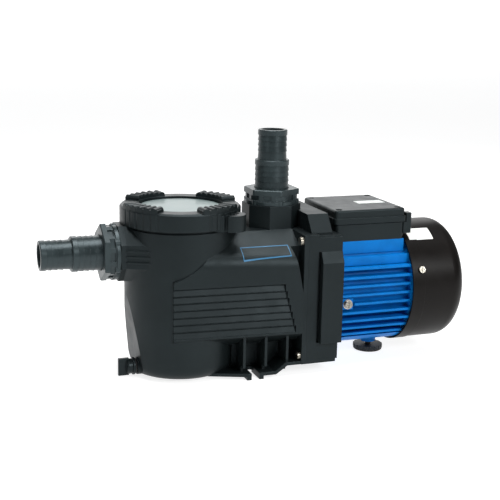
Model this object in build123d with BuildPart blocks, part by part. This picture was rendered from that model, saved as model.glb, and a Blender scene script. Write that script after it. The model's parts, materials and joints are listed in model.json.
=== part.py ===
from build123d import *
import os
from math import cos, pi, radians, sin, sqrt, tan

# A self-priming pool pump: a strainer pot with a clear lid, a moulded pump housing, a bracket
# and a finned, fan-cooled motor, with a threaded hose union on the suction and the discharge.
# +X runs along the shaft from the suction to the motor, +Z is up, and the origin is on the
# floor, midway between the two bolt slots of the foot.

# ---------------------------------------------------------------- driving dimensions (mm)
SHAFT_HEIGHT = 85.0
GAP = 0.3  # between pieces that move past each other
SEAT_GAP = 0.15  # between a seal or cover and the flat face that it sits on
RUNNING = 0.06  # radial clearance of a pin or shaft in its hole

POT_X = -67.0
POT_R = 61.5
POT_WALL = 7.0
POT_BOTTOM = 2.5
POT_FLOOR = 5.0
POT_ROUND = 13.0
POT_FLAT_TILT = 8.0  # degrees, draft of the flat on the suction side
POT_FLAT_FOOT = POT_R - 12.5  # distance of that flat from the pot's axis at the floor
RIM_HEIGHT = SHAFT_HEIGHT + 88.0
NECK_R = POT_R - 2.5
NECK_HEIGHT = 9.0
THREAD_RIDGE = 1.2
RIM_LEDGE = 8.0  # depth of the basket's ledge below the rim
MOUTH_R = NECK_R - 5.6
LEDGE_R = MOUTH_R - 2.6

RING_R = NECK_R + 7.1
RING_SKIRT = 19.0
RING_OPENING_R = NECK_R - 11.0
RING_TOP = 8.0
GRIP_RISE = 5.0
GRIP_COUNT = 4
GRIP_SPAN = 48.0  # degrees
GRIP_RIDGES = 6
LOBE_ANGLE = -50.0
LOBE_R = 15.0
LOBE_OFFSET = RING_R - 0.1
LOBE_ROOT = 24.0  # half width of the lobe where it leaves the ring

LID_R = NECK_R - 0.8
LID_FLANGE = 5.0
LID_WALL = 3.0
LID_CROWN = 7.0
LID_SEAL_R = NECK_R - 3.0
LID_SEAL_SECTION = 1.2

BASKET_TOP_R = LEDGE_R - 1.0
BASKET_FOOT_R = BASKET_TOP_R - 6.8
BASKET_WALL = 2.0
BASKET_DEPTH = 140.0
BASKET_RIM = 3.0
BASKET_SLOTS = 20
HANDLE_R = BASKET_TOP_R - 4.8
HANDLE_WIRE = 1.6

SUCTION_HEIGHT = SHAFT_HEIGHT + 52.0
SUCTION_FACE_X = POT_X - POT_R - 11.0
DISCHARGE_X = 39.0
DISCHARGE_FACE_Z = SHAFT_HEIGHT + 98.9
TAIL_LARGE_R = 19.2
TAIL_SMALL_R = 16.3
TAIL_BORE_R = TAIL_SMALL_R - 3.7
COLLAR_R = TAIL_LARGE_R + 3.2
SPIGOT_R = COLLAR_R + 1.5
PORT_FLATS = 2 * SPIGOT_R + 13.2  # across the flats of the octagonal port stubs
SUCTION_FLATS = PORT_FLATS - 1.0
SUCTION_FLARE = 14.0  # how much wider the suction stub grows to each side at the pot
SUCTION_FLARE_LENGTH = 28.0
PORT_BORE_R = TAIL_BORE_R + 1.9
SPIGOT_LENGTH = 8.5
SPIGOT_RIDGES = 3
GASKET = 2.0
COLLAR = 3.0
NUT_FLATS = 2 * SPIGOT_R + 7.2
NUT_LENGTH = 16.8
NUT_END_WALL = 3.3
NUT_FLANGE = 4.0
NUT_FLANGE_R = SPIGOT_R + 6.3
TAIL_LARGE_LENGTH = 31.3
TAIL_SMALL_LENGTH = 33.2
BARB_DEPTH = 0.9
BARB_PITCH = 6.0
BARB_LEAD = 6.0
BARB_COUNT = 3

CHAMBER_R = 56.5
FLANGE_HALF = CHAMBER_R + 11.5
BODY_LEFT_X = POT_X - 24.0
BODY_LEFT_HALF = POT_R - 0.5
BODY_HALF = FLANGE_HALF + 2.0
BODY_LOW = SHAFT_HEIGHT - 36.0
BODY_SHOULDER = SHAFT_HEIGHT + 47.0
BODY_ROOF = SHAFT_HEIGHT + 73.4
SHOULDER_ROUND = 20.0
SCOOP_X = POT_X + 30.0  # where the scooped corner of the body reaches its roof
LOUVRES = 7
LOUVRE_PITCH = 7.85
LOUVRE_DEPTH = 3.8
LOUVRE_LIP = 1.2
LOUVRE_LOW = SHAFT_HEIGHT - 34.0
LOUVRE_RIGHT_LOW = 46.0
LOUVRE_RIGHT_TOP = 31.0
LOUVRE_LENGTH = 165.0

JOINT_X = 58.0  # where the housing meets the bracket
FLANGE = 5.0
FLANGE_LOW = SHAFT_HEIGHT - 72.5
FLANGE_TOP = SHAFT_HEIGHT + 73.0
FLANGE_SCREW_Y = FLANGE_HALF - 6.0
FLANGE_SCREW_LOW = FLANGE_LOW + 9.0
FLANGE_SCREW_HIGH = FLANGE_TOP - 7.0
SCREW_R = 2.5
SCREW_HEAD_R = 4.6
SCREW_HEAD = 3.6

VOLUTE_R = CHAMBER_R + 5.5
CHAMBER_LEFT_X = 2.0
SPIGOT_DEPTH = 8.0  # how far the bracket's nose enters the chamber
EYE_R = 19.0

FOOT_HALF = FLANGE_HALF - 1.0
FOOT_PAD = 3.6
FOOT_PLATE = 3.6
FOOT_LEFT_X = -50.0
FOOT_RIGHT_X = 24.0
SLOT_R = 4.5
SLOT_CENTRE_Y = 48.0
PAD_WIDTH = 5.0
RIB_X = (-12.0, 13.0, 38.0)
RIB_THICKNESS = 3.0

BRACKET_END_X = JOINT_X + 40.0
BRACKET_PLATE = 12.0
BRACKET_CAVITY_R = CHAMBER_R + 1.5
BLOCK_LEFT_X = JOINT_X + 15.0
BLOCK_HALF = FLANGE_HALF + 6.0
BLOCK_LOW = SHAFT_HEIGHT - 49.0
BLOCK_TOP = SHAFT_HEIGHT + 42.0
BLOCK_RAMP = 12.0
TURRET_TOP = SHAFT_HEIGHT + 92.0
TURRET_LENGTH = 24.5

MOTOR_LENGTH = 90.0
SHELL_END_X = BRACKET_END_X + MOTOR_LENGTH
SHELL_BORE_R = 50.5
SHELL_WALL = 5.0
SHELL_R = SHELL_BORE_R + 18.5
SHELL_HALF = SHELL_BORE_R + 13.0
FIN_PITCH = 10.0
FIN_THICKNESS = 2.6
FINS_BELOW = 5
FINS_ABOVE = 3
PANEL_HALF = 46.0
PANEL_TOP = SHAFT_HEIGHT + 58.6
TIE_OFFSET = (SHELL_BORE_R + 6.5) / sqrt(2)
TIE_R = 2.4
TIE_BOSS_R = 7.0

BEARING_R = 17.5
BEARING_BORE_R = 7.5
BEARING_WIDTH = 11.0
BALL_R = 0.29 * (BEARING_R - BEARING_BORE_R)
BALL_COUNT = 8
FRONT_BEARING_X = BRACKET_END_X - 11.0
REAR_BEARING_X = SHELL_END_X - 7.0
REAR_SHIELD = 8.0
DRIVE_SHIELD_X = FRONT_BEARING_X - 1.0
STATOR_LEFT_X = BRACKET_END_X + 14.0
STATOR_RIGHT_X = SHELL_END_X - 18.0
STATOR_BORE_R = 28.6
ROTOR_R = STATOR_BORE_R - 0.5
STATOR_SLOTS = 24
WINDING_LENGTH = 10.0

IMPELLER_R = CHAMBER_R - 10.5
IMPELLER_LEFT_X = 16.0
IMPELLER_WIDTH = 15.0
IMPELLER_VANES = 6
IMPELLER_EYE_R = 14.0
SHAFT_TIP_R = 5.0
SHAFT_R = 7.0
ROTOR_SEAT_R = 9.0
FAN_SEAT_R = 6.0
SHAFT_END_X = SHELL_END_X + 42.0
SEAL_FACE_R = 12.5
SEAL_SEAT_R = 15.0

COVER_R = SHELL_R + 2.5
FAN_R = COVER_R - 17.5
FAN_LEFT_X = SHELL_END_X + 20.0
FAN_WIDTH = 18.0
FAN_BLADES = 7
COVER_WALL = 2.0
COVER_LEFT_X = SHELL_END_X - 1.0
COVER_BAND = 15.0
COVER_STEP = 0.8
COVER_END_X = SHELL_END_X + 70.0
COVER_ROUND = 18.0
COVER_SCREW_ANGLES = (21.0, 159.0, 270.0)
COVER_SCREW_X = SHELL_END_X + 10.0
GRILLE_RINGS = 5
GRILLE_INNER_R = 13.0
GRILLE_PITCH = 7.6
GRILLE_SLOT = 4.6

BOX_LEFT_X = BRACKET_END_X + 0.5
BOX_RIGHT_X = SHELL_END_X - 3.5
BOX_HALF = 46.0
BOX_WALL = 2.5
BOX_SPLIT = PANEL_TOP + 18.9
BOX_TOP = BOX_SPLIT + 16.5
BOX_LIP = 7.5
BOX_LID_EDGE = 2.0  # how far the lid's lower layer stands out over the base
CAPACITOR_R = 14.0
BOX_SCREW_R = 1.8
GLAND_Y = 39.0
GLAND_Z = BOX_SPLIT - 7.0
GLAND_R = 8.0
GLAND_STUB_R = 6.0
GLAND_HEX_R = 8.5
GLAND_BORE_R = 4.5
GLAND_LENGTH = 16.0
GLAND_HEX = 6.0
EARTH_X = BRACKET_END_X + 12.6
EARTH_Z = SHAFT_HEIGHT - 10.0
EARTH_FACE_Y = SHELL_BORE_R + 9.3

LEVEL_X = SHELL_END_X - 20.0
LEVEL_R = 17.5
LEVEL_SOLE = 2.0
LEVEL_KNOB = 4.0
LEVEL_STUD_R = 4.0
LEVEL_TRAVEL = 6.0
LUG_DROP = 6.0

DRAIN_Y = -16.0
DRAIN_Z = 11.5
DRAIN_BOSS_R = 9.6
DRAIN_BOSS_X = POT_X - POT_FLAT_FOOT - 5.0
DRAIN_HOLE_R = 6.0
DRAIN_STEM = 9.0
DRAIN_WING = 19.0
DRAIN_WING_THICKNESS = 4.0

# ---------------------------------------------------------------- derived values
POT_INNER_R = POT_R - POT_WALL
RING_BOTTOM = RIM_HEIGHT + LID_FLANGE + SEAT_GAP + GAP + RING_TOP - RING_SKIRT
RING_UNDER = RIM_HEIGHT + LID_FLANGE + SEAT_GAP + GAP
RING_FACE = RING_UNDER + RING_TOP
RING_BORE_R = NECK_R + THREAD_RIDGE + GAP
LEDGE_HEIGHT = RIM_HEIGHT - RIM_LEDGE
NUT_OUTER = SEAT_GAP + NUT_LENGTH
COLLAR_TOP = SPIGOT_LENGTH + GASKET + COLLAR
TAIL_STEP = NUT_OUTER + GAP + TAIL_LARGE_LENGTH
TAIL_END = TAIL_STEP + TAIL_SMALL_LENGTH
BORE_R_NUT = SPIGOT_R + GAP
NOSE_X = JOINT_X - SPIGOT_DEPTH
ROOF_RISE = (BODY_ROOF - BODY_SHOULDER) / (BODY_HALF - PORT_FLATS / 2)


# ---------------------------------------------------------------- helpers
def across(x, y=0.0, z=SHAFT_HEIGHT):
    """A plane that faces +X here, with its own x along +Y and its own y along +Z."""
    return Plane(origin=(x, y, z), x_dir=(0, 1, 0), z_dir=(1, 0, 0))


SHAFT = across(0.0)
POT_AXIS = Plane(origin=(POT_X, 0, 0))
SUCTION_PORT = Plane(
    origin=(SUCTION_FACE_X, 0, SUCTION_HEIGHT), x_dir=(0, 1, 0), z_dir=(-1, 0, 0)
)
DISCHARGE_PORT = Plane(origin=(DISCHARGE_X, 0, DISCHARGE_FACE_Z))
DRAIN_PORT = Plane(
    origin=(DRAIN_BOSS_X, DRAIN_Y, DRAIN_Z), x_dir=(0, 1, 0), z_dir=(-1, 0, 0)
)
LEVEL_AXIS = Plane(origin=(LEVEL_X, 0, 0))


def turn(points, plane, mode=Mode.ADD):
    """Turns a closed outline of (radius, distance along) points about a plane's own z axis."""
    cut = Plane(origin=plane.origin, x_dir=plane.x_dir, z_dir=-plane.y_dir)
    with BuildSketch(cut) as outline:
        with BuildLine():
            Polyline(*points, close=True)
        make_face()
    revolve(outline.sketch, axis=Axis(plane.origin, plane.z_dir), mode=mode)


def tube(plane, low, high, outer, inner=0.0, mode=Mode.ADD):
    """A round bar or tube along a plane's own z axis, from low to high."""
    start = plane.offset(low)
    with BuildSketch(start) as ring:
        Circle(outer)
        if inner > 0:
            Circle(inner, mode=Mode.SUBTRACT)
    extrude(ring.sketch, amount=high - low, dir=plane.z_dir, mode=mode)


def slab(x, y, z, mode=Mode.ADD):
    """A box between the two limits given along each axis."""
    with Locations(((x[0] + x[1]) / 2, (y[0] + y[1]) / 2, (z[0] + z[1]) / 2)):
        Box(x[1] - x[0], y[1] - y[0], z[1] - z[0], mode=mode)


def prism(plane, points, amount, mode=Mode.ADD):
    """A straight prism on a polygon of the plane's own (x, y) points."""
    with BuildSketch(plane) as outline:
        with BuildLine():
            Polyline(*points, close=True)
        make_face()
    extrude(outline.sketch, amount=amount, dir=plane.z_dir, mode=mode)


def spoke(plane, along, angle, radius):
    """A place at a radius and an angle about a plane's own z axis."""
    turned = Location((0, 0, 0), (0, 0, angle))
    return plane.offset(along).location * turned * Location((radius, 0, 0))


def o_ring(plane, along, radius, section):
    """A round-section ring about a plane's own z axis."""
    with Locations(plane.offset(along)):
        Torus(radius, section)


def shaft_points(radius, angles):
    """Places (y, z) at a radius from the shaft, measured from +Y towards +Z."""
    return [
        (radius * cos(radians(a)), SHAFT_HEIGHT + radius * sin(radians(a)))
        for a in angles
    ]


# ---------------------------------------------------------------- pump housing
def body_outline(half):
    """The roofed section of the pump body, for one half width."""
    eave = BODY_ROOF - ROOF_RISE * (half - PORT_FLATS / 2)
    return [
        (-half, BODY_LOW),
        (-half, eave),
        (-PORT_FLATS / 2, BODY_ROOF),
        (PORT_FLATS / 2, BODY_ROOF),
        (half, eave),
        (half, BODY_LOW),
        (half - 22, BODY_LOW - 14),
        (22 - half, BODY_LOW - 14),
    ]


def body_section(x, half):
    """One section of the pump body, with its eaves rounded."""
    with BuildSketch(across(x, 0, 0)) as section:
        with BuildLine():
            Polyline(*body_outline(half), close=True)
        make_face()
        eaves = section.vertices().filter_by_position(Axis.Y, BODY_SHOULDER - 8, BODY_ROOF - 8)
        fillet(eaves, SHOULDER_ROUND)
    return section.sketch


def octagon_stub(plane, low, high, flats):
    """An eight-sided port stub with flats square to the plane's own axes."""
    with BuildSketch(plane.offset(low)) as stub:
        RegularPolygon(flats / 2, 8, major_radius=False, rotation=22.5)
    extrude(stub.sketch, amount=high - low, dir=plane.z_dir)


def threaded_spigot(plane):
    """The male thread of a port, drawn as round ridges."""
    pitch = SPIGOT_LENGTH / (SPIGOT_RIDGES + 0.5)
    root = SPIGOT_R - BARB_DEPTH
    tube(plane, -1.0, SPIGOT_LENGTH, root)
    for i in range(SPIGOT_RIDGES):
        low = pitch * (i + 0.6)
        turn(
            [
                (root - 0.5, low),
                (root, low),
                (SPIGOT_R, low + pitch * 0.3),
                (SPIGOT_R, low + pitch * 0.45),
                (root, low + pitch * 0.75),
                (root - 0.5, low + pitch * 0.75),
            ],
            plane,
        )


face_slope = (BODY_HALF - BODY_LEFT_HALF) / (JOINT_X - FLANGE - BODY_LEFT_X)

with BuildPart() as pump_body:
    loft(
        [
            body_section(BODY_LEFT_X, BODY_LEFT_HALF),
            body_section(JOINT_X - FLANGE, BODY_HALF),
        ]
    )
    # the scooped corner where the body's side runs into the pot
    low_corner = (POT_X - 25.0, BODY_LOW + 64.0)
    with BuildSketch(Plane(origin=(0, BODY_HALF, 0), x_dir=(1, 0, 0), z_dir=(0, -1, 0))) as scoop:
        with BuildLine():
            ThreePointArc(
                low_corner,
                (POT_X + 9.0, BODY_LOW + 84.0),
                (SCOOP_X, BODY_ROOF + 4.0),
            )
            Polyline(
                (SCOOP_X, BODY_ROOF + 4.0),
                (SCOOP_X, BODY_ROOF + 30.0),
                (BODY_LEFT_X - 10.0, BODY_ROOF + 30.0),
                (BODY_LEFT_X - 10.0, low_corner[1]),
                low_corner,
            )
        make_face()
    extrude(scoop.sketch, amount=2 * BODY_HALF, dir=(0, -1, 0), mode=Mode.SUBTRACT)

with BuildPart() as pump_housing:
    # the pot: a round barrel with a flat, drafted side towards the suction
    tube(POT_AXIS, POT_BOTTOM, RIM_HEIGHT - NECK_HEIGHT, POT_R)
    fillet(pump_housing.edges().group_by(Axis.Z)[0], POT_ROUND)
    lean = tan(radians(POT_FLAT_TILT))
    high = RING_BOTTOM - 46.0
    prism(
        Plane(origin=(POT_X, -POT_R - 1, 0), x_dir=(1, 0, 0), z_dir=(0, 1, 0)),
        [
            (-POT_FLAT_FOOT, 1),
            (-POT_FLAT_FOOT - lean * high, -high),
            (-POT_R - 20, -high),
            (-POT_R - 20, 1),
        ],
        2 * POT_R + 2,
        Mode.SUBTRACT,
    )
    tube(POT_AXIS, RIM_HEIGHT - NECK_HEIGHT - 1, RIM_HEIGHT, NECK_R)
    for i in range(2):
        low = RIM_HEIGHT - NECK_HEIGHT + 2.5 + 3.2 * i
        turn(
            [
                (NECK_R - 1, low),
                (NECK_R, low),
                (NECK_R + THREAD_RIDGE, low + 0.8),
                (NECK_R + THREAD_RIDGE, low + 1.2),
                (NECK_R, low + 2.0),
                (NECK_R - 1, low + 2.0),
            ],
            POT_AXIS,
        )
    # the pump body between the pot and the bracket
    add(pump_body.part)
    tube(SHAFT, 0.0, JOINT_X, VOLUTE_R)
    # the wedge gap that frees the heads of the top flange screws
    for side in (-1, 1):
        inner = FLANGE_SCREW_Y - SCREW_HEAD_R - 5.0
        prism(
            Plane(
                origin=(JOINT_X - FLANGE, side * inner, 0),
                x_dir=(1, 0, 0),
                z_dir=(0, side, 0),
            ),
            [
                (0, -side * 92.0),
                (0, -side * (FLANGE_TOP + 5)),
                (-14.0, -side * (FLANGE_TOP + 5)),
            ],
            40.0,
            Mode.SUBTRACT,
        )
    slab(
        (JOINT_X - FLANGE, JOINT_X),
        (-FLANGE_HALF, FLANGE_HALF),
        (FLANGE_LOW, FLANGE_TOP),
    )
    # the discharge neck and the suction stub
    octagon_stub(DISCHARGE_PORT, SHAFT_HEIGHT + 40 - DISCHARGE_FACE_Z, 0, PORT_FLATS)
    slab((JOINT_X, JOINT_X + 20), (-40, 40), (SHAFT_HEIGHT, FLANGE_TOP + 1.0), Mode.SUBTRACT)
    threaded_spigot(DISCHARGE_PORT)
    octagon_stub(SUCTION_PORT, -32.0, 0, SUCTION_FLATS)
    threaded_spigot(SUCTION_PORT)
    # the stub widens sideways into the pot, with three ribs over each flared face
    flare_from = -5.5
    flare_to = flare_from - SUCTION_FLARE_LENGTH
    half = SUCTION_FLATS / 2
    facet = half * tan(radians(22.5))
    for grow, along in ((0.0, flare_from), (SUCTION_FLARE, flare_to)):
        with BuildSketch(SUCTION_PORT.offset(along)):
            with BuildLine():
                Polyline(
                    (half + grow, -facet),
                    (half + grow, facet),
                    (facet + grow, half),
                    (-facet - grow, half),
                    (-half - grow, facet),
                    (-half - grow, -facet),
                    (-facet - grow, -half),
                    (facet + grow, -half),
                    close=True,
                )
            make_face()
    loft()
    for side in (-1, 1):
        near = (SUCTION_FACE_X - flare_from, side * half)
        far = (SUCTION_FACE_X - flare_to, side * (half + SUCTION_FLARE))
        for i in range(3):
            prism(
                Plane(origin=(0, 0, SUCTION_HEIGHT - 7.0 + 6.2 * i)),
                [
                    (near[0], near[1] - side),
                    (near[0], near[1] + side * 1.6),
                    (far[0], far[1] + side * 1.6),
                    (far[0], far[1] - side * 4),
                ],
                2.0,
            )
    # the foot: a plate with four pads, webs and ribs under the pump body
    slab((FOOT_LEFT_X, JOINT_X), (-38, 38), (FOOT_PAD, SHAFT_HEIGHT - 40))
    prism(
        Plane(origin=(0, 0, FOOT_PAD)),
        [
            (FOOT_LEFT_X, -POT_R + 10),
            (-SLOT_R - 4, -FOOT_HALF),
            (FOOT_RIGHT_X, -FOOT_HALF),
            (JOINT_X - 20, -FOOT_HALF),
            (JOINT_X - 20, FOOT_HALF),
            (FOOT_RIGHT_X, FOOT_HALF),
            (-SLOT_R - 4, FOOT_HALF),
            (FOOT_LEFT_X, POT_R - 10),
        ],
        FOOT_PLATE,
    )
    prism(
        Plane(origin=(0, FOOT_HALF + 1, 0), x_dir=(1, 0, 0), z_dir=(0, -1, 0)),
        [
            (FOOT_RIGHT_X, 0),
            (FOOT_RIGHT_X, FOOT_PAD),
            (FOOT_RIGHT_X + 13, FLANGE_LOW),
            (JOINT_X, FLANGE_LOW),
            (JOINT_X, 0),
        ],
        2 * FOOT_HALF + 2,
        Mode.SUBTRACT,
    )
    slab(
        (FOOT_RIGHT_X + 13, JOINT_X),
        (-FOOT_HALF, FOOT_HALF),
        (FLANGE_LOW, FLANGE_LOW + FOOT_PLATE),
    )
    prism(
        Plane(origin=(0, FOOT_HALF, 0), x_dir=(1, 0, 0), z_dir=(0, -1, 0)),
        [
            (FOOT_RIGHT_X - 1, FOOT_PAD),
            (FOOT_RIGHT_X, FOOT_PAD),
            (FOOT_RIGHT_X + 13, FLANGE_LOW),
            (FOOT_RIGHT_X + 14, FLANGE_LOW + FOOT_PLATE),
            (FOOT_RIGHT_X + 11, FLANGE_LOW + FOOT_PLATE),
            (FOOT_RIGHT_X - 1, FOOT_PAD + FOOT_PLATE),
        ],
        2 * FOOT_HALF,
    )
    for x in RIB_X:
        slab(
            (x - RIB_THICKNESS / 2, x + RIB_THICKNESS / 2),
            (4 - FOOT_HALF, FOOT_HALF - 4),
            (FLANGE_LOW, BODY_LOW + 2),
        )
        slab(
            (x - RIB_THICKNESS / 2, x + RIB_THICKNESS / 2),
            (12 - FOOT_HALF, FOOT_HALF - 12),
            (FOOT_PAD + 1, FLANGE_LOW + 1),
        )
    for side in (-1, 1):
        for way in (-1, 1):
            near = way * SLOT_R
            far = way * (SLOT_R + PAD_WIDTH)
            slab(
                (min(near, far), max(near, far)),
                (min(side * 41, side * FOOT_HALF), max(side * 41, side * FOOT_HALF)),
                (0, FOOT_PAD + 1),
            )
        slab(
            (-SLOT_R, SLOT_R),
            (
                min(side * SLOT_CENTRE_Y, side * (FOOT_HALF + 1)),
                max(side * SLOT_CENTRE_Y, side * (FOOT_HALF + 1)),
            ),
            (-1, FOOT_PAD + FOOT_PLATE + 1.5),
            Mode.SUBTRACT,
        )
        tube(
            Plane(origin=(0, side * SLOT_CENTRE_Y, 0)),
            -1,
            FOOT_PAD + FOOT_PLATE + 1.5,
            SLOT_R,
            mode=Mode.SUBTRACT,
        )
    # the drain boss at the foot of the flat
    tube(DRAIN_PORT, -16.0, 0, DRAIN_BOSS_R)
    # louvres let into both side faces: each board leans out to a lip at its lower edge
    for side in (-1, 1):
        for i in range(LOUVRES):
            low = LOUVRE_LOW + i * LOUVRE_PITCH
            share = (i + 0.5) / LOUVRES
            end = LOUVRE_RIGHT_LOW + (LOUVRE_RIGHT_TOP - LOUVRE_RIGHT_LOW) * share
            half = BODY_LEFT_HALF + face_slope * (end - BODY_LEFT_X)
            board = Plane(
                origin=(end, side * half, low),
                x_dir=(-face_slope, side, 0),
                z_dir=(-1, -side * face_slope, 0),
            )
            up = board.y_dir.Z
            prism(
                board,
                [
                    (3, up * 0.2),
                    (-LOUVRE_LIP, up * 0.2),
                    (-LOUVRE_DEPTH, up * LOUVRE_PITCH),
                    (3, up * LOUVRE_PITCH),
                ],
                LOUVRE_LENGTH,
                Mode.SUBTRACT,
            )
    # the hollows: pot, passages, pump chamber and bores
    sump = POT_BOTTOM + POT_FLOOR
    tube(POT_AXIS, sump, LEDGE_HEIGHT - 12, BASKET_FOOT_R + 3.5, mode=Mode.SUBTRACT)
    turn(
        [
            (0, sump + 16),
            (BASKET_FOOT_R + 3.5, sump + 16),
            (POT_INNER_R, sump + 74),
            (POT_INNER_R, LEDGE_HEIGHT - 14),
            (LEDGE_R, LEDGE_HEIGHT - 8),
            (LEDGE_R, LEDGE_HEIGHT),
            (MOUTH_R, LEDGE_HEIGHT),
            (MOUTH_R, RIM_HEIGHT + 1),
            (0, RIM_HEIGHT + 1),
        ],
        POT_AXIS,
        Mode.SUBTRACT,
    )
    tube(
        POT_AXIS,
        RIM_HEIGHT - 2 * LID_SEAL_SECTION - SEAT_GAP,
        RIM_HEIGHT + 1,
        LID_SEAL_R + LID_SEAL_SECTION + GAP,
        LID_SEAL_R - LID_SEAL_SECTION - GAP,
        Mode.SUBTRACT,
    )
    tube(SUCTION_PORT, -35.0, SPIGOT_LENGTH + 1, PORT_BORE_R, mode=Mode.SUBTRACT)
    tube(SHAFT, -20.0, CHAMBER_LEFT_X + 1, EYE_R, mode=Mode.SUBTRACT)
    tube(SHAFT, CHAMBER_LEFT_X, JOINT_X + 1, CHAMBER_R, mode=Mode.SUBTRACT)
    tube(
        DISCHARGE_PORT,
        SHAFT_HEIGHT + 45 - DISCHARGE_FACE_Z,
        SPIGOT_LENGTH + 1,
        PORT_BORE_R,
        mode=Mode.SUBTRACT,
    )
    tube(DRAIN_PORT, -24.0, 1, DRAIN_HOLE_R, mode=Mode.SUBTRACT)
    for y in (-FLANGE_SCREW_Y, FLANGE_SCREW_Y):
        for z in (FLANGE_SCREW_LOW, FLANGE_SCREW_HIGH):
            tube(
                across(0, y, z),
                JOINT_X - FLANGE - 1,
                JOINT_X + 1,
                SCREW_R + GAP,
                mode=Mode.SUBTRACT,
            )

# ---------------------------------------------------------------- strainer basket
with BuildPart() as strainer_basket:
    top = LEDGE_HEIGHT + SEAT_GAP + BASKET_RIM
    rim_low = LEDGE_HEIGHT + SEAT_GAP
    foot = rim_low - BASKET_DEPTH
    inner_top = BASKET_TOP_R - BASKET_WALL
    inner_foot = BASKET_FOOT_R - BASKET_WALL
    turn(
        [
            (0, foot),
            (BASKET_FOOT_R, foot),
            (BASKET_TOP_R, rim_low),
            (MOUTH_R - GAP - 0.1, rim_low),
            (MOUTH_R - GAP - 0.1, top),
            (inner_top, top),
            (inner_foot, foot + BASKET_WALL),
            (0, foot + BASKET_WALL),
        ],
        POT_AXIS,
    )
    # the slots of the wall and the holes of the floor
    for row in range(3):
        middle = foot + 24 + row * 37
        with Locations((POT_X, 0, middle)):
            with PolarLocations(BASKET_TOP_R - 3, BASKET_SLOTS):
                Box(14, 5.0, 28, mode=Mode.SUBTRACT)
    for radius, count in ((12, 6), (24, 12), (35, 18)):
        with Locations((POT_X, 0, foot)):
            with PolarLocations(radius, count):
                Cylinder(2.6, 3 * BASKET_WALL, mode=Mode.SUBTRACT)
    # the window that faces the suction port
    tube(SUCTION_PORT, -60.0, 0.0, PORT_BORE_R + 1.0, mode=Mode.SUBTRACT)
    # the tab that the handle lies on, and the two ears that carry it
    slab((POT_X + HANDLE_R - 3, POT_X + HANDLE_R + 4), (-7, 7), (rim_low, top))
    for side in (-1, 1):
        low_y, high_y = sorted((side * (HANDLE_R + 2.4), side * (HANDLE_R + 5.2)))
        slab((POT_X - 4, POT_X + 4), (low_y, high_y), (top - 0.5, top + 4.3))
    with Locations(Plane(origin=(POT_X, 0, top + 1.9), z_dir=(0, 1, 0))):
        Cylinder(HANDLE_WIRE + RUNNING, 4 * HANDLE_R, mode=Mode.SUBTRACT)

# ---------------------------------------------------------------- basket handle
HANDLE_Z = LEDGE_HEIGHT + SEAT_GAP + BASKET_RIM + 1.9
with BuildPart() as basket_handle:
    with BuildLine() as bail:
        arch = CenterArc((POT_X, 0, HANDLE_Z), HANDLE_R, -90, 180)
    with BuildSketch(Plane(origin=arch @ 0, z_dir=arch % 0)):
        Circle(HANDLE_WIRE - 0.1)
    sweep(path=bail.line)
    for side in (-1, 1):
        with Locations(Plane(origin=(POT_X, side * (HANDLE_R + 2.2), HANDLE_Z), z_dir=(0, 1, 0))):
            Cylinder(HANDLE_WIRE, 6.4)

# ---------------------------------------------------------------- lid and its seal
with BuildPart() as lid:
    low = RIM_HEIGHT + SEAT_GAP
    top = low + LID_FLANGE
    crown_r = RING_OPENING_R - GAP - 0.4
    hollow_r = crown_r - LID_WALL
    turn(
        [
            (hollow_r, low),
            (LID_R, low),
            (LID_R, top),
            (crown_r, top),
            (crown_r, top + LID_CROWN - 3.0),
            (crown_r - 3.0, top + LID_CROWN - 0.8),
            (0, top + LID_CROWN),
            (0, top + LID_CROWN - LID_WALL),
            (hollow_r - 1.5, top + LID_CROWN - LID_WALL - 0.8),
            (hollow_r, top + LID_CROWN - LID_WALL - 2.0),
        ],
        POT_AXIS,
    )

with BuildPart() as lid_seal:
    o_ring(POT_AXIS, RIM_HEIGHT + SEAT_GAP - LID_SEAL_SECTION, LID_SEAL_R, LID_SEAL_SECTION)

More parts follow.
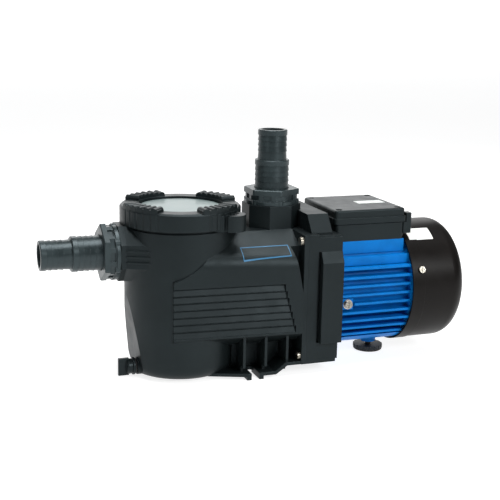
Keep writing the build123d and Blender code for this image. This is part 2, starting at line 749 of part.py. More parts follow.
# ---------------------------------------------------------------- lock ring
with BuildPart() as lock_ring:
    turn(
        [
            (RING_BORE_R, RING_BOTTOM),
            (RING_R, RING_BOTTOM),
            (RING_R, RING_FACE - 2.0),
            (RING_R - 2.0, RING_FACE),
            (RING_OPENING_R, RING_FACE),
            (RING_OPENING_R, RING_UNDER),
            (RING_BORE_R, RING_UNDER),
        ],
        POT_AXIS,
    )
    # the lobe that a strap or a tool pushes against
    lobe = spoke(POT_AXIS, RING_BOTTOM - 2.5, LOBE_ANGLE, LOBE_OFFSET)
    with BuildSketch(lobe) as lobe_shape:
        Circle(LOBE_R)
        with BuildLine():
            Polyline(
                (-LOBE_R, -LOBE_ROOT),
                (0.2 * LOBE_R, -0.98 * LOBE_R),
                (0.2 * LOBE_R, 0.98 * LOBE_R),
                (-LOBE_R, LOBE_ROOT),
                close=True,
            )
        make_face()
    extrude(lobe_shape.sketch, amount=RING_FACE - RING_BOTTOM - 1.5, dir=(0, 0, 1))
    turn(
        [
            (0, RING_BOTTOM - 3.0),
            (RING_BORE_R, RING_BOTTOM - 3.0),
            (RING_BORE_R, RING_UNDER),
            (0, RING_UNDER),
        ],
        POT_AXIS,
        Mode.SUBTRACT,
    )
    # four raised grips, each a low arc with rounded ridges across it and flutes down its side
    for i in range(GRIP_COUNT):
        middle = -61.0 + 360.0 / GRIP_COUNT * i
        with BuildSketch(Plane(origin=(POT_X, 0, RING_FACE - 0.5))) as grip:
            with BuildLine():
                start = middle - GRIP_SPAN / 2
                outer = CenterArc((0, 0), RING_R - 0.8, start, GRIP_SPAN)
                inner = CenterArc((0, 0), RING_OPENING_R + 1.2, start, GRIP_SPAN)
                Line(outer @ 0, inner @ 0)
                Line(outer @ 1, inner @ 1)
            make_face()
        extrude(grip.sketch, amount=GRIP_RISE - 1.5, dir=(0, 0, 1))
        for j in range(GRIP_RIDGES):
            angle = middle + GRIP_SPAN * ((j + 0.5) / GRIP_RIDGES - 0.5)
            across_ring = RING_R - RING_OPENING_R - 2.0
            ridge = spoke(POT_AXIS, RING_FACE + 1.2, angle, (RING_R + RING_OPENING_R) / 2 + 0.2)
            with Locations(ridge):
                Cylinder(GRIP_RISE - 1.2, across_ring, rotation=(0, 90, 0))
            flute = angle + GRIP_SPAN / GRIP_RIDGES / 2
            with Locations(spoke(POT_AXIS, RING_UNDER - 1, flute, RING_R + 2.3)):
                Cylinder(3.0, 3 * RING_SKIRT, mode=Mode.SUBTRACT)


# ---------------------------------------------------------------- hose unions
def barbed(outer_end, inner_end, crest):
    """Outline points of one barbed length, from its outer end to its inner end."""
    root = crest - BARB_DEPTH
    points = [(crest - 0.6, outer_end), (crest, outer_end - 0.8), (crest, outer_end - BARB_LEAD)]
    along = outer_end - BARB_LEAD
    for _ in range(BARB_COUNT):
        points.append((root, along))
        along -= BARB_PITCH
        points.append((crest - 0.1, along))
    points.append((root + 0.2, along))
    points.append((crest - 0.1, inner_end))
    return points


def hose_tail(port):
    """The stepped hose tail with the collar that its nut pulls down."""
    with BuildPart() as tail:
        turn(
            [
                *barbed(TAIL_END, TAIL_STEP, TAIL_SMALL_R),
                *barbed(TAIL_STEP, NUT_OUTER + GAP, TAIL_LARGE_R),
                (TAIL_LARGE_R, COLLAR_TOP),
                (COLLAR_R, COLLAR_TOP),
                (COLLAR_R, COLLAR_TOP - COLLAR),
                (TAIL_BORE_R, COLLAR_TOP - COLLAR),
                (TAIL_BORE_R, TAIL_END),
            ],
            port,
        )
    return tail


def union_gasket(port):
    """The flat ring between the port's face and the tail's collar."""
    with BuildPart() as gasket:
        tube(port, SPIGOT_LENGTH + SEAT_GAP, SPIGOT_LENGTH + GASKET, COLLAR_R, PORT_BORE_R)
    return gasket


def union_nut(port):
    """The six-sided union nut, with pockets in its flats and a round flange."""
    with BuildPart() as nut:
        low = SEAT_GAP
        corner = NUT_FLATS / sqrt(3)
        with BuildSketch(port.offset(low)) as flats:
            RegularPolygon(corner, 6, rotation=30)
            Circle(corner - 0.6, mode=Mode.INTERSECT)
        extrude(flats.sketch, amount=NUT_LENGTH, dir=port.z_dir)
        chamfer(nut.faces().sort_by(Axis(port.origin, port.z_dir))[-1].edges(), 0.8)
        tube(port, low, low + NUT_FLANGE, NUT_FLANGE_R)
        pocket = low + NUT_FLANGE + 3.9
        for face in range(6):
            with Locations(spoke(port, pocket, 60.0 * face, NUT_FLATS / 2)):
                Box(3.0, 9.0, 5.4, mode=Mode.SUBTRACT)
            with Locations(spoke(port, pocket, 60.0 * face + 30.0, corner)):
                Box(7.0, 11.0, 5.4, mode=Mode.SUBTRACT)
        tube(port, low - 1, low + NUT_LENGTH - NUT_END_WALL, BORE_R_NUT, mode=Mode.SUBTRACT)
        tube(port, low, low + NUT_LENGTH + 1, TAIL_LARGE_R + GAP, mode=Mode.SUBTRACT)
        for i in range(SPIGOT_RIDGES):
            along = 2.4 + i * 2.6
            tube(port, along, along + 1.2, BORE_R_NUT + 0.5, mode=Mode.SUBTRACT)
    return nut


suction_tail = hose_tail(SUCTION_PORT)
suction_gasket = union_gasket(SUCTION_PORT)
suction_nut = union_nut(SUCTION_PORT)
discharge_tail = hose_tail(DISCHARGE_PORT)
discharge_gasket = union_gasket(DISCHARGE_PORT)
discharge_nut = union_nut(DISCHARGE_PORT)

# ---------------------------------------------------------------- drain plug and its seal
with BuildPart() as drain_plug:
    seat = 2 * LID_SEAL_SECTION + SEAT_GAP
    tube(DRAIN_PORT, -DRAIN_STEM, seat + 2, DRAIN_HOLE_R - GAP)
    turn(
        [
            (0, seat),
            (DRAIN_BOSS_R, seat),
            (DRAIN_BOSS_R, seat + 2.2),
            (DRAIN_BOSS_R - 1.6, seat + 2.6),
            (DRAIN_BOSS_R - 1.0, seat + 7.0),
            (DRAIN_BOSS_R - 2.2, seat + 8.6),
            (0, seat + 8.6),
        ],
        DRAIN_PORT,
    )
    slab(
        (DRAIN_BOSS_X - seat - 17.5, DRAIN_BOSS_X - seat - 6),
        (DRAIN_Y - DRAIN_WING_THICKNESS / 2, DRAIN_Y + DRAIN_WING_THICKNESS / 2),
        (DRAIN_Z - DRAIN_WING / 2, DRAIN_Z + DRAIN_WING / 2),
    )

with BuildPart() as drain_seal:
    ring_r = DRAIN_HOLE_R + LID_SEAL_SECTION
    o_ring(DRAIN_PORT, LID_SEAL_SECTION + SEAT_GAP / 2, ring_r, LID_SEAL_SECTION)

# ---------------------------------------------------------------- diffuser
with BuildPart() as diffuser:
    plate_x = IMPELLER_LEFT_X - 4.5
    tube(SHAFT, CHAMBER_LEFT_X - 6, plate_x, EYE_R - 0.1, IMPELLER_EYE_R + 1)
    tube(SHAFT, plate_x - 0.5, plate_x + 2.5, CHAMBER_R - 1.5, IMPELLER_EYE_R + 2.4)
    with BuildSketch(across(plate_x + 2)) as vanes:
        with PolarLocations(0, 8):
            with BuildLine():
                Polyline(
                    (IMPELLER_R + 1.6, -1.2),
                    (CHAMBER_R - 2, 8.0),
                    (CHAMBER_R - 3, 11.0),
                    (IMPELLER_R + 1.4, 1.4),
                    close=True,
                )
            make_face()
    extrude(vanes.sketch, amount=NOSE_X - plate_x - 9, dir=(1, 0, 0))

# ---------------------------------------------------------------- impeller
with BuildPart() as impeller:
    right = IMPELLER_LEFT_X + IMPELLER_WIDTH
    tube(SHAFT, IMPELLER_LEFT_X, IMPELLER_LEFT_X + 2.5, IMPELLER_R, IMPELLER_EYE_R)
    tube(SHAFT, IMPELLER_LEFT_X - 4.2, IMPELLER_LEFT_X + 0.5, IMPELLER_EYE_R + 2, IMPELLER_EYE_R)
    tube(SHAFT, right - 2.5, right, IMPELLER_R, SHAFT_TIP_R)
    tube(SHAFT, IMPELLER_LEFT_X + 3, NOSE_X - 5.5, SHAFT_R + 1, SHAFT_TIP_R)
    with BuildSketch(across(IMPELLER_LEFT_X + 2)) as blades:
        with PolarLocations(0, IMPELLER_VANES):
            with BuildLine():
                outer_arc = ThreePointArc((IMPELLER_EYE_R + 2, 0), (32, 9), (IMPELLER_R - 0.5, 6))
                inner_arc = ThreePointArc((IMPELLER_EYE_R + 2, 2.4), (31, 11.5), (IMPELLER_R - 1.0, 8.4))
                Line(outer_arc @ 0, inner_arc @ 0)
                Line(outer_arc @ 1, inner_arc @ 1)
            make_face()
    extrude(blades.sketch, amount=IMPELLER_WIDTH - 4, dir=(1, 0, 0))

with BuildPart() as impeller_nut:
    with BuildSketch(across(IMPELLER_LEFT_X - 4)) as dome:
        RegularPolygon(8.0, 6)
        Circle(7.4, mode=Mode.INTERSECT)
    extrude(dome.sketch, amount=6.9, dir=(1, 0, 0))
    tube(SHAFT, IMPELLER_LEFT_X - 2, IMPELLER_LEFT_X + 3.5, SHAFT_TIP_R, mode=Mode.SUBTRACT)

# ---------------------------------------------------------------- shaft seal
with BuildPart() as seal_seat:
    tube(SHAFT, NOSE_X - 1.0, NOSE_X + 6.0, SEAL_SEAT_R, SHAFT_R + 1.6)

with BuildPart() as seal_seat_cup:
    tube(SHAFT, NOSE_X + 0.5, NOSE_X + 7.0, SEAL_SEAT_R + 2.0, SEAL_SEAT_R)
    tube(SHAFT, NOSE_X + 6.0, NOSE_X + 7.0, SEAL_SEAT_R + 0.5, SHAFT_R + 2.4)

with BuildPart() as seal_bellows:
    low = IMPELLER_LEFT_X + IMPELLER_WIDTH
    high = NOSE_X - 5.0
    folds = [(SHAFT_R + 1, low)]
    steps = 6
    for i in range(steps + 1):
        radius = SEAL_FACE_R - (2.4 if i % 2 else 0.0)
        folds.append((radius, low + (high - low) * i / steps))
    folds.append((SHAFT_R + 1, high))
    turn(folds, SHAFT)

with BuildPart() as seal_face:
    tube(SHAFT, NOSE_X - 5.0, NOSE_X - 1.0 - RUNNING, SEAL_FACE_R, SHAFT_R + 1)

# ---------------------------------------------------------------- motor bracket
with BuildPart() as motor_bracket:
    # plate, side blocks with their ramps, and the turret under the terminal box
    slab((JOINT_X, JOINT_X + BRACKET_PLATE), (-FLANGE_HALF, FLANGE_HALF), (FLANGE_LOW, FLANGE_TOP))
    slab((JOINT_X + 2, BRACKET_END_X), (4 - FLANGE_HALF, FLANGE_HALF - 4), (FLANGE_LOW + 2, FLANGE_TOP - 2))
    slab((JOINT_X + 2, BRACKET_END_X - 4), (-FLANGE_HALF, FLANGE_HALF), (FLANGE_LOW, BLOCK_LOW))
    slab(
        (JOINT_X + 2, BRACKET_END_X),
        (-FLANGE_HALF, FLANGE_HALF),
        (BLOCK_TOP + BLOCK_RAMP, FLANGE_TOP - 3),
    )
    for side in (-1, 1):
        prism(
            Plane(origin=(BLOCK_LEFT_X, 0, 0), x_dir=(0, side, 0), z_dir=(side, 0, 0)),
            [
                (FLANGE_HALF - 12, BLOCK_LOW),
                (BLOCK_HALF, BLOCK_LOW),
                (BLOCK_HALF, BLOCK_TOP),
                (FLANGE_HALF, BLOCK_TOP + BLOCK_RAMP),
                (FLANGE_HALF - 12, BLOCK_TOP + BLOCK_RAMP),
            ],
            side * (BRACKET_END_X - BLOCK_LEFT_X),
        )
    prism(
        across(JOINT_X + 6, 0, 0),
        [
            (-60, FLANGE_TOP - 4),
            (60, FLANGE_TOP - 4),
            (60, FLANGE_TOP + 1),
            (PANEL_HALF, TURRET_TOP),
            (-PANEL_HALF, TURRET_TOP),
            (-60, FLANGE_TOP + 1),
        ],
        TURRET_LENGTH,
    )
    # the notch that the discharge neck stands in
    with BuildSketch(Plane(origin=(DISCHARGE_X, 0, FLANGE_TOP - 2))) as notch:
        RegularPolygon(PORT_FLATS / 2 + 1.0, 8, major_radius=False, rotation=22.5)
    extrude(notch.sketch, amount=30, dir=(0, 0, 1), mode=Mode.SUBTRACT)
    # the nose that closes the pump chamber, with the groove of its seal
    tube(SHAFT, NOSE_X, JOINT_X + 1, CHAMBER_R - 0.2)
    tube(SHAFT, NOSE_X + 2.5, NOSE_X + 5.3, CHAMBER_R + 1, CHAMBER_R - 2.6, Mode.SUBTRACT)
    # the hollow behind the plate, the seal's pocket and the shaft's way through
    tube(SHAFT, JOINT_X + 4, BRACKET_END_X + 1, BRACKET_CAVITY_R, mode=Mode.SUBTRACT)
    tube(SHAFT, NOSE_X - 1, NOSE_X + 7, SEAL_SEAT_R + 2.1, mode=Mode.SUBTRACT)
    tube(SHAFT, NOSE_X, JOINT_X + 5, SHAFT_R + 2.4, mode=Mode.SUBTRACT)
    # bosses that the tie rods screw into
    for y, z in shaft_points(TIE_OFFSET * sqrt(2), (45, 135, 225, 315)):
        tube(across(0, y, z), JOINT_X + 3, DRIVE_SHIELD_X, TIE_BOSS_R)
        tube(across(0, y, z), JOINT_X + 10, BRACKET_END_X, TIE_R, mode=Mode.SUBTRACT)
    for y in (-FLANGE_SCREW_Y, FLANGE_SCREW_Y):
        for z in (FLANGE_SCREW_LOW, FLANGE_SCREW_HIGH):
            tube(across(0, y, z), JOINT_X - 1, JOINT_X + BRACKET_PLATE + 6, SCREW_R, mode=Mode.SUBTRACT)

with BuildPart() as housing_seal:
    o_ring(SHAFT, NOSE_X + 3.9, CHAMBER_R - 1.3, 1.2)

with BuildPart() as flange_screws:
    for y in (-FLANGE_SCREW_Y, FLANGE_SCREW_Y):
        for z in (FLANGE_SCREW_LOW, FLANGE_SCREW_HIGH):
            spot = across(0, y, z)
            face = JOINT_X - FLANGE
            tube(spot, face - 1, face + FLANGE + BRACKET_PLATE, SCREW_R)
            tube(spot, face - SCREW_HEAD, face, SCREW_HEAD_R)
            with Locations(across(face - SCREW_HEAD, y, z)):
                Box(5.6, 1.2, 3.0, mode=Mode.SUBTRACT)
                Box(1.2, 5.6, 3.0, mode=Mode.SUBTRACT)

# ---------------------------------------------------------------- shaft and rotor
with BuildPart() as motor_shaft:
    tube(SHAFT, IMPELLER_LEFT_X - 1.8, NOSE_X - 3.0, SHAFT_TIP_R)
    tube(SHAFT, NOSE_X - 3.2, FRONT_BEARING_X, SHAFT_R)
    tube(SHAFT, FRONT_BEARING_X - 0.5, REAR_BEARING_X + BEARING_WIDTH, BEARING_BORE_R)
    tube(SHAFT, FRONT_BEARING_X + BEARING_WIDTH + 2, REAR_BEARING_X - 2, ROTOR_SEAT_R)
    tube(SHAFT, REAR_BEARING_X + BEARING_WIDTH - 0.5, SHAFT_END_X, FAN_SEAT_R)
    chamfer(motor_shaft.edges().sort_by(Axis.X)[-1], 0.8)
    chamfer(motor_shaft.edges().sort_by(Axis.X)[0], 0.6)

with BuildPart() as rotor_core:
    tube(SHAFT, STATOR_LEFT_X, STATOR_RIGHT_X, ROTOR_R, ROTOR_SEAT_R)
    tube(SHAFT, STATOR_LEFT_X - 6, STATOR_LEFT_X + 1, ROTOR_R - 1.5, ROTOR_R - 8)
    tube(SHAFT, STATOR_RIGHT_X - 1, STATOR_RIGHT_X + 6, ROTOR_R - 1.5, ROTOR_R - 8)

with BuildPart() as water_slinger:
    turn(
        [
            (SHAFT_R, JOINT_X + 10),
            (SHAFT_R + 3, JOINT_X + 10),
            (SHAFT_R + 9, JOINT_X + 8),
            (SHAFT_R + 9, JOINT_X + 9.2),
            (SHAFT_R + 4, JOINT_X + 14),
            (SHAFT_R, JOINT_X + 14),
        ],
        SHAFT,
    )

# ---------------------------------------------------------------- ball bearings
BALL_CENTRE_R = (BEARING_R + BEARING_BORE_R) / 2
BEARING_MIDDLES = (FRONT_BEARING_X + BEARING_WIDTH / 2, REAR_BEARING_X + BEARING_WIDTH / 2)

with BuildPart() as bearing_outer_rings:
    for middle in BEARING_MIDDLES:
        half = BEARING_WIDTH / 2
        tube(SHAFT, middle - half, middle + half, BEARING_R, BALL_CENTRE_R + 2.2)
        with Locations(SHAFT.offset(middle)):
            Torus(BALL_CENTRE_R, BALL_R + 0.1, mode=Mode.SUBTRACT)

with BuildPart() as bearing_inner_rings:
    for middle in BEARING_MIDDLES:
        half = BEARING_WIDTH / 2
        tube(SHAFT, middle - half, middle + half, BALL_CENTRE_R - 2.2, BEARING_BORE_R)
        with Locations(SHAFT.offset(middle)):
            Torus(BALL_CENTRE_R, BALL_R + 0.1, mode=Mode.SUBTRACT)

with BuildPart() as bearing_balls:
    for middle in BEARING_MIDDLES:
        with Locations(across(middle)):
            with PolarLocations(BALL_CENTRE_R, BALL_COUNT):
                Sphere(BALL_R)

# ---------------------------------------------------------------- end shields and tie rods
TIE_POINTS = shaft_points(TIE_OFFSET * sqrt(2), (45, 135, 225, 315))

with BuildPart() as drive_end_shield:
    tube(SHAFT, DRIVE_SHIELD_X, BRACKET_END_X, BRACKET_CAVITY_R - GAP, SHAFT_R + 1.5)
    tube(SHAFT, DRIVE_SHIELD_X + 4, BRACKET_END_X + 1, SHELL_BORE_R, BEARING_R + 4, Mode.SUBTRACT)
    tube(SHAFT, BRACKET_END_X - 2, BRACKET_END_X + 3, SHELL_BORE_R - 0.1, SHELL_BORE_R - 4)
    tube(SHAFT, DRIVE_SHIELD_X + 3, BRACKET_END_X - 1, SHELL_BORE_R + 0.5, SHELL_BORE_R - 4)
    tube(SHAFT, FRONT_BEARING_X, BRACKET_END_X + 4, BEARING_R, mode=Mode.SUBTRACT)
    with BuildSketch(across(DRIVE_SHIELD_X + 3)) as webs:
        with PolarLocations((BEARING_R + SHELL_BORE_R) / 2, 6):
            Rectangle(SHELL_BORE_R - BEARING_R - 6, 3)
    extrude(webs.sketch, amount=7, dir=(1, 0, 0))
    for y, z in TIE_POINTS:
        spot = across(0, y, z)
        tube(spot, DRIVE_SHIELD_X - 1, BRACKET_END_X + 1, TIE_R + 0.2, mode=Mode.SUBTRACT)

with BuildPart() as rear_end_shield:
    end = SHELL_END_X + REAR_SHIELD
    tube(SHAFT, SHELL_END_X, end, SHELL_R - 5.5)
    tube(SHAFT, SHELL_END_X - 3.5, SHELL_END_X + 1, SHELL_BORE_R - 0.1)
    tube(SHAFT, SHELL_END_X - 4, SHELL_END_X + 3, SHELL_BORE_R - 4, BEARING_R + 4, Mode.SUBTRACT)
    tube(SHAFT, REAR_BEARING_X - 1, SHELL_END_X, BEARING_R + 4)
    tube(SHAFT, REAR_BEARING_X - 2, REAR_BEARING_X + BEARING_WIDTH, BEARING_R, mode=Mode.SUBTRACT)
    tube(SHAFT, REAR_BEARING_X, end + 1, BEARING_BORE_R + 1, mode=Mode.SUBTRACT)
    for y, z in TIE_POINTS:
        tube(across(0, y, z), SHELL_END_X - 1, end + 1, TIE_R + 0.2, mode=Mode.SUBTRACT)
    # lugs that the fan cover screws to
    lug_r = COVER_R - COVER_WALL - SEAT_GAP
    for angle in COVER_SCREW_ANGLES:
        with Locations(spoke(SHAFT, COVER_SCREW_X - 3, angle, (lug_r + 57) / 2)):
            Box(lug_r - 57, 12, 12)
    tube(SHAFT, SHELL_END_X, end + 20, SHELL_R + 5, lug_r, Mode.SUBTRACT)
    for y, z in shaft_points(57.0, COVER_SCREW_ANGLES):
        outward = (0, y / 57.0, (z - SHAFT_HEIGHT) / 57.0)
        hole = Plane(origin=(COVER_SCREW_X, y, z), x_dir=(1, 0, 0), z_dir=outward)
        tube(hole, 3.0, 20.0, BOX_SCREW_R, mode=Mode.SUBTRACT)

with BuildPart() as tie_rods:
    for y, z in TIE_POINTS:
        spot = across(0, y, z)
        tube(spot, JOINT_X + 14, SHELL_END_X + REAR_SHIELD + 1, TIE_R)
        with BuildSketch(spot.offset(SHELL_END_X + REAR_SHIELD)) as head:
            RegularPolygon(4.6, 6)
        extrude(head.sketch, amount=3.2, dir=(1, 0, 0))

# ---------------------------------------------------------------- motor shell
with BuildPart() as motor_shell:
    sides = (BRACKET_END_X, SHELL_END_X)
    tube(SHAFT, BRACKET_END_X, SHELL_END_X, SHELL_BORE_R + SHELL_WALL)
    for k in range(-FINS_BELOW, FINS_ABOVE + 1):
        z = SHAFT_HEIGHT + FIN_PITCH * k
        edge = abs(FIN_PITCH * k) + FIN_THICKNESS / 2
        half = min(SHELL_HALF, sqrt(SHELL_R**2 - edge**2))
        slab(sides, (-half, half), (z - FIN_THICKNESS / 2, z + FIN_THICKNESS / 2))
    with BuildSketch(across(BRACKET_END_X)) as belly:
        Circle(SHELL_R)
        with Locations((0, SHELL_R - FIN_PITCH * FINS_BELOW - 4)):
            Rectangle(3 * SHELL_R, 2 * SHELL_R, mode=Mode.SUBTRACT)
    extrude(belly.sketch, amount=SHELL_END_X - BRACKET_END_X, dir=(1, 0, 0))
    # the side panels below the pedestal of the terminal box
    slab(sides, (-PANEL_HALF - 8, PANEL_HALF + 8), (SHAFT_HEIGHT + 32, SHAFT_HEIGHT + 42))
    slab(sides, (2 - PANEL_HALF, PANEL_HALF - 2), (SHAFT_HEIGHT + 41, SHAFT_HEIGHT + 45))
    pedestal_end = BOX_RIGHT_X
    slab(
        (BRACKET_END_X, pedestal_end),
        (-PANEL_HALF, PANEL_HALF),
        (SHAFT_HEIGHT + 44.2, PANEL_TOP),
    )
    # bosses that the tie rods pass through
    for y, z in TIE_POINTS:
        tube(across(0, y, z), BRACKET_END_X, SHELL_END_X, TIE_R + 3)
    # a plain pad for the earth screw, and a boss for the levelling foot
    slab((EARTH_X - 7, EARTH_X + 7), (-70, -EARTH_FACE_Y), (EARTH_Z - 7, EARTH_Z + 7), Mode.SUBTRACT)
    slab((EARTH_X - 6.6, EARTH_X + 6.6), (-EARTH_FACE_Y, -48), (EARTH_Z - 6.6, EARTH_Z + 6.6))
    belly_low = SHAFT_HEIGHT - SHELL_R
    tube(LEVEL_AXIS, belly_low - LUG_DROP, belly_low + 6, LEVEL_STUD_R + 5)
    # the bore, the screw holes and the cable's way up into the box
    tube(SHAFT, BRACKET_END_X - 1, SHELL_END_X + 1, SHELL_BORE_R, mode=Mode.SUBTRACT)
    for y, z in TIE_POINTS:
        spot = across(0, y, z)
        tube(spot, BRACKET_END_X - 1, SHELL_END_X + 1, TIE_R + 0.2, mode=Mode.SUBTRACT)
    hole = Plane(origin=(EARTH_X, -EARTH_FACE_Y, EARTH_Z), x_dir=(1, 0, 0), z_dir=(0, 1, 0))
    tube(hole, -1, 7, SCREW_R, mode=Mode.SUBTRACT)
    tube(LEVEL_AXIS, 0, belly_low + 12, LEVEL_STUD_R + RUNNING, mode=Mode.SUBTRACT)
    tube(Plane(origin=(BOX_LEFT_X + 8, 0, 0)), SHAFT_HEIGHT + 40, 200, 4, mode=Mode.SUBTRACT)

with BuildPart() as earth_washer:
    tube(
        Plane(origin=(EARTH_X, -EARTH_FACE_Y, EARTH_Z), x_dir=(1, 0, 0), z_dir=(0, -1, 0)),
        0,
        0.8,
        5.6,
        SCREW_R,
    )

with BuildPart() as earth_screw:
    spot = Plane(origin=(EARTH_X, -EARTH_FACE_Y, EARTH_Z), x_dir=(1, 0, 0), z_dir=(0, -1, 0))
    tube(spot, -6, 1, SCREW_R)
    tube(spot, 0.8, 3.8, 4.4)
    with Locations(spot.offset(3.8)):
        Box(6.4, 1.1, 2.4, mode=Mode.SUBTRACT)
        Box(1.1, 6.4, 2.4, mode=Mode.SUBTRACT)

# ---------------------------------------------------------------- stator
SLOT_WIDTH = 4.2
SLOT_INNER_R = STATOR_BORE_R + 2.4
SLOT_OUTER_R = SHELL_BORE_R - 8.0
with BuildPart() as stator_core:
    tube(SHAFT, STATOR_LEFT_X, STATOR_RIGHT_X, SHELL_BORE_R, STATOR_BORE_R)
    with BuildSketch(across(STATOR_LEFT_X - 1)) as slots:
        with PolarLocations((SLOT_INNER_R + SLOT_OUTER_R) / 2, STATOR_SLOTS):
            Rectangle(SLOT_OUTER_R - SLOT_INNER_R, SLOT_WIDTH)
        with PolarLocations(STATOR_BORE_R + 1, STATOR_SLOTS):
            Rectangle(4, 1.4)
    extrude(
        slots.sketch,
        amount=STATOR_RIGHT_X - STATOR_LEFT_X + 2,
        dir=(1, 0, 0),
        mode=Mode.SUBTRACT,
    )

with BuildPart() as stator_windings:
    for low, high in (
        (STATOR_LEFT_X - WINDING_LENGTH, STATOR_LEFT_X - 0.1),
        (STATOR_RIGHT_X + 0.1, STATOR_RIGHT_X + WINDING_LENGTH),
    ):
        turn(
            [
                (SLOT_INNER_R + 1, low + 2),
                (SLOT_INNER_R + 4, low),
                (SLOT_OUTER_R + 3, low),
                (SLOT_OUTER_R + 5, low + 2),
                (SLOT_OUTER_R + 5, high - 2),
                (SLOT_OUTER_R + 3, high),
                (SLOT_INNER_R + 4, high),
                (SLOT_INNER_R + 1, high - 2),
            ],
            SHAFT,
        )
    with BuildSketch(across(STATOR_LEFT_X - 4)) as bars:
        with PolarLocations((SLOT_INNER_R + SLOT_OUTER_R) / 2, STATOR_SLOTS):
            Rectangle(SLOT_OUTER_R - SLOT_INNER_R - 0.4, SLOT_WIDTH - 0.4)
    extrude(bars.sketch, amount=STATOR_RIGHT_X - STATOR_LEFT_X + 8, dir=(1, 0, 0))

# ---------------------------------------------------------------- fan and its cover
with BuildPart() as cooling_fan:
    tube(SHAFT, FAN_LEFT_X, FAN_LEFT_X + 2.2, FAN_R, FAN_SEAT_R)
    tube(SHAFT, FAN_LEFT_X, FAN_LEFT_X + FAN_WIDTH, FAN_SEAT_R + 6, FAN_SEAT_R)
    with BuildSketch(across(FAN_LEFT_X + 1)) as blades:
        with PolarLocations((FAN_R + FAN_SEAT_R + 5) / 2, FAN_BLADES):
            Rectangle(FAN_R - FAN_SEAT_R - 5.4, 2.2)
    extrude(blades.sketch, amount=FAN_WIDTH - 1, dir=(1, 0, 0))
    turn(
        [
            (FAN_SEAT_R + 7, FAN_LEFT_X + FAN_WIDTH + 1),
            (FAN_R + 1, FAN_LEFT_X + FAN_WIDTH + 1),
            (FAN_R + 1, FAN_LEFT_X + FAN_WIDTH - 7),
        ],
        SHAFT,
        Mode.SUBTRACT,
    )

with BuildPart() as fan_clip:
    tube(SHAFT, FAN_LEFT_X + FAN_WIDTH, FAN_LEFT_X + FAN_WIDTH + 1.2, FAN_SEAT_R + 3, FAN_SEAT_R)


def domed(low, high, radius, rounding, mode=Mode.ADD):
    """A solid turned about the shaft whose far rim is rounded."""
    cut = Plane(origin=SHAFT.origin, x_dir=SHAFT.x_dir, z_dir=-SHAFT.y_dir)
    diagonal = rounding * (1 - sqrt(0.5))
    with BuildSketch(cut) as outline:
        with BuildLine():
            Polyline(
                (radius - rounding, high),
                (0, high),
                (0, low),
                (radius, low),
                (radius, high - rounding),
            )
            ThreePointArc(
                (radius, high - rounding),
                (radius - diagonal, high - diagonal),
                (radius - rounding, high),
            )
        make_face()
    revolve(outline.sketch, axis=Axis(SHAFT.origin, SHAFT.z_dir), mode=mode)


COVER_SCREW_PLANES = [
    Plane(
        origin=(COVER_SCREW_X, y, z),
        x_dir=(1, 0, 0),
        z_dir=(0, y / COVER_R, (z - SHAFT_HEIGHT) / COVER_R),
    )
    for y, z in shaft_points(COVER_R, COVER_SCREW_ANGLES)
]

with BuildPart() as fan_cover:
    body_r = COVER_R - COVER_STEP
    domed(COVER_LEFT_X, COVER_END_X, body_r, COVER_ROUND)
    tube(SHAFT, COVER_LEFT_X, COVER_LEFT_X + COVER_BAND, COVER_R)
    inner_r = COVER_R - COVER_WALL
    domed(
        COVER_LEFT_X - 1,
        COVER_END_X - COVER_WALL,
        inner_r - COVER_STEP,
        COVER_ROUND - COVER_WALL,
        Mode.SUBTRACT,
    )
    tube(SHAFT, COVER_LEFT_X - 1, COVER_LEFT_X + COVER_BAND, inner_r, mode=Mode.SUBTRACT)
    for i in range(GRILLE_RINGS):
        near = GRILLE_INNER_R + i * GRILLE_PITCH
        tube(
            SHAFT,
            COVER_END_X - 4,
            COVER_END_X + 1,
            near + GRILLE_SLOT,
            near,
            Mode.SUBTRACT,
        )
    for i in range(4):
        with Locations(spoke(SHAFT, COVER_END_X - COVER_WALL / 2, 22.5 + 45 * i, 0)):
            Box(2 * (GRILLE_INNER_R + GRILLE_RINGS * GRILLE_PITCH), 4.0, COVER_WALL)
    for plane in COVER_SCREW_PLANES:
        tube(plane, -6, 3, BOX_SCREW_R + GAP, mode=Mode.SUBTRACT)

with BuildPart() as fan_cover_screws:
    for plane in COVER_SCREW_PLANES:
        tube(plane, -10, 0.5, BOX_SCREW_R)
        tube(plane, 0.1, 2.6, 3.8)
        with Locations(plane.offset(2.6)):
            Box(5.0, 1.0, 1.8, mode=Mode.SUBTRACT)
            Box(1.0, 5.0, 1.8, mode=Mode.SUBTRACT)

# ---------------------------------------------------------------- terminal box
BOX_MIDDLE_X = (BOX_LEFT_X + BOX_RIGHT_X) / 2
BOX_LENGTH = BOX_RIGHT_X - BOX_LEFT_X
BOX_CORNERS = [
    (x, y)
    for x in (BOX_LEFT_X + 6.5, BOX_RIGHT_X - 6.5)
    for y in (6.5 - BOX_HALF, BOX_HALF - 6.5)
]


def box_layer(low, high, inset, rounding, mode=Mode.ADD):
    """One layer of the terminal box, inset all round, with rounded corners."""
    with BuildSketch(Plane(origin=(BOX_MIDDLE_X, 0, low))) as layer:
        RectangleRounded(BOX_LENGTH - 2 * inset, 2 * (BOX_HALF - inset), rounding)
    extrude(layer.sketch, amount=high - low, dir=(0, 0, 1), mode=mode)


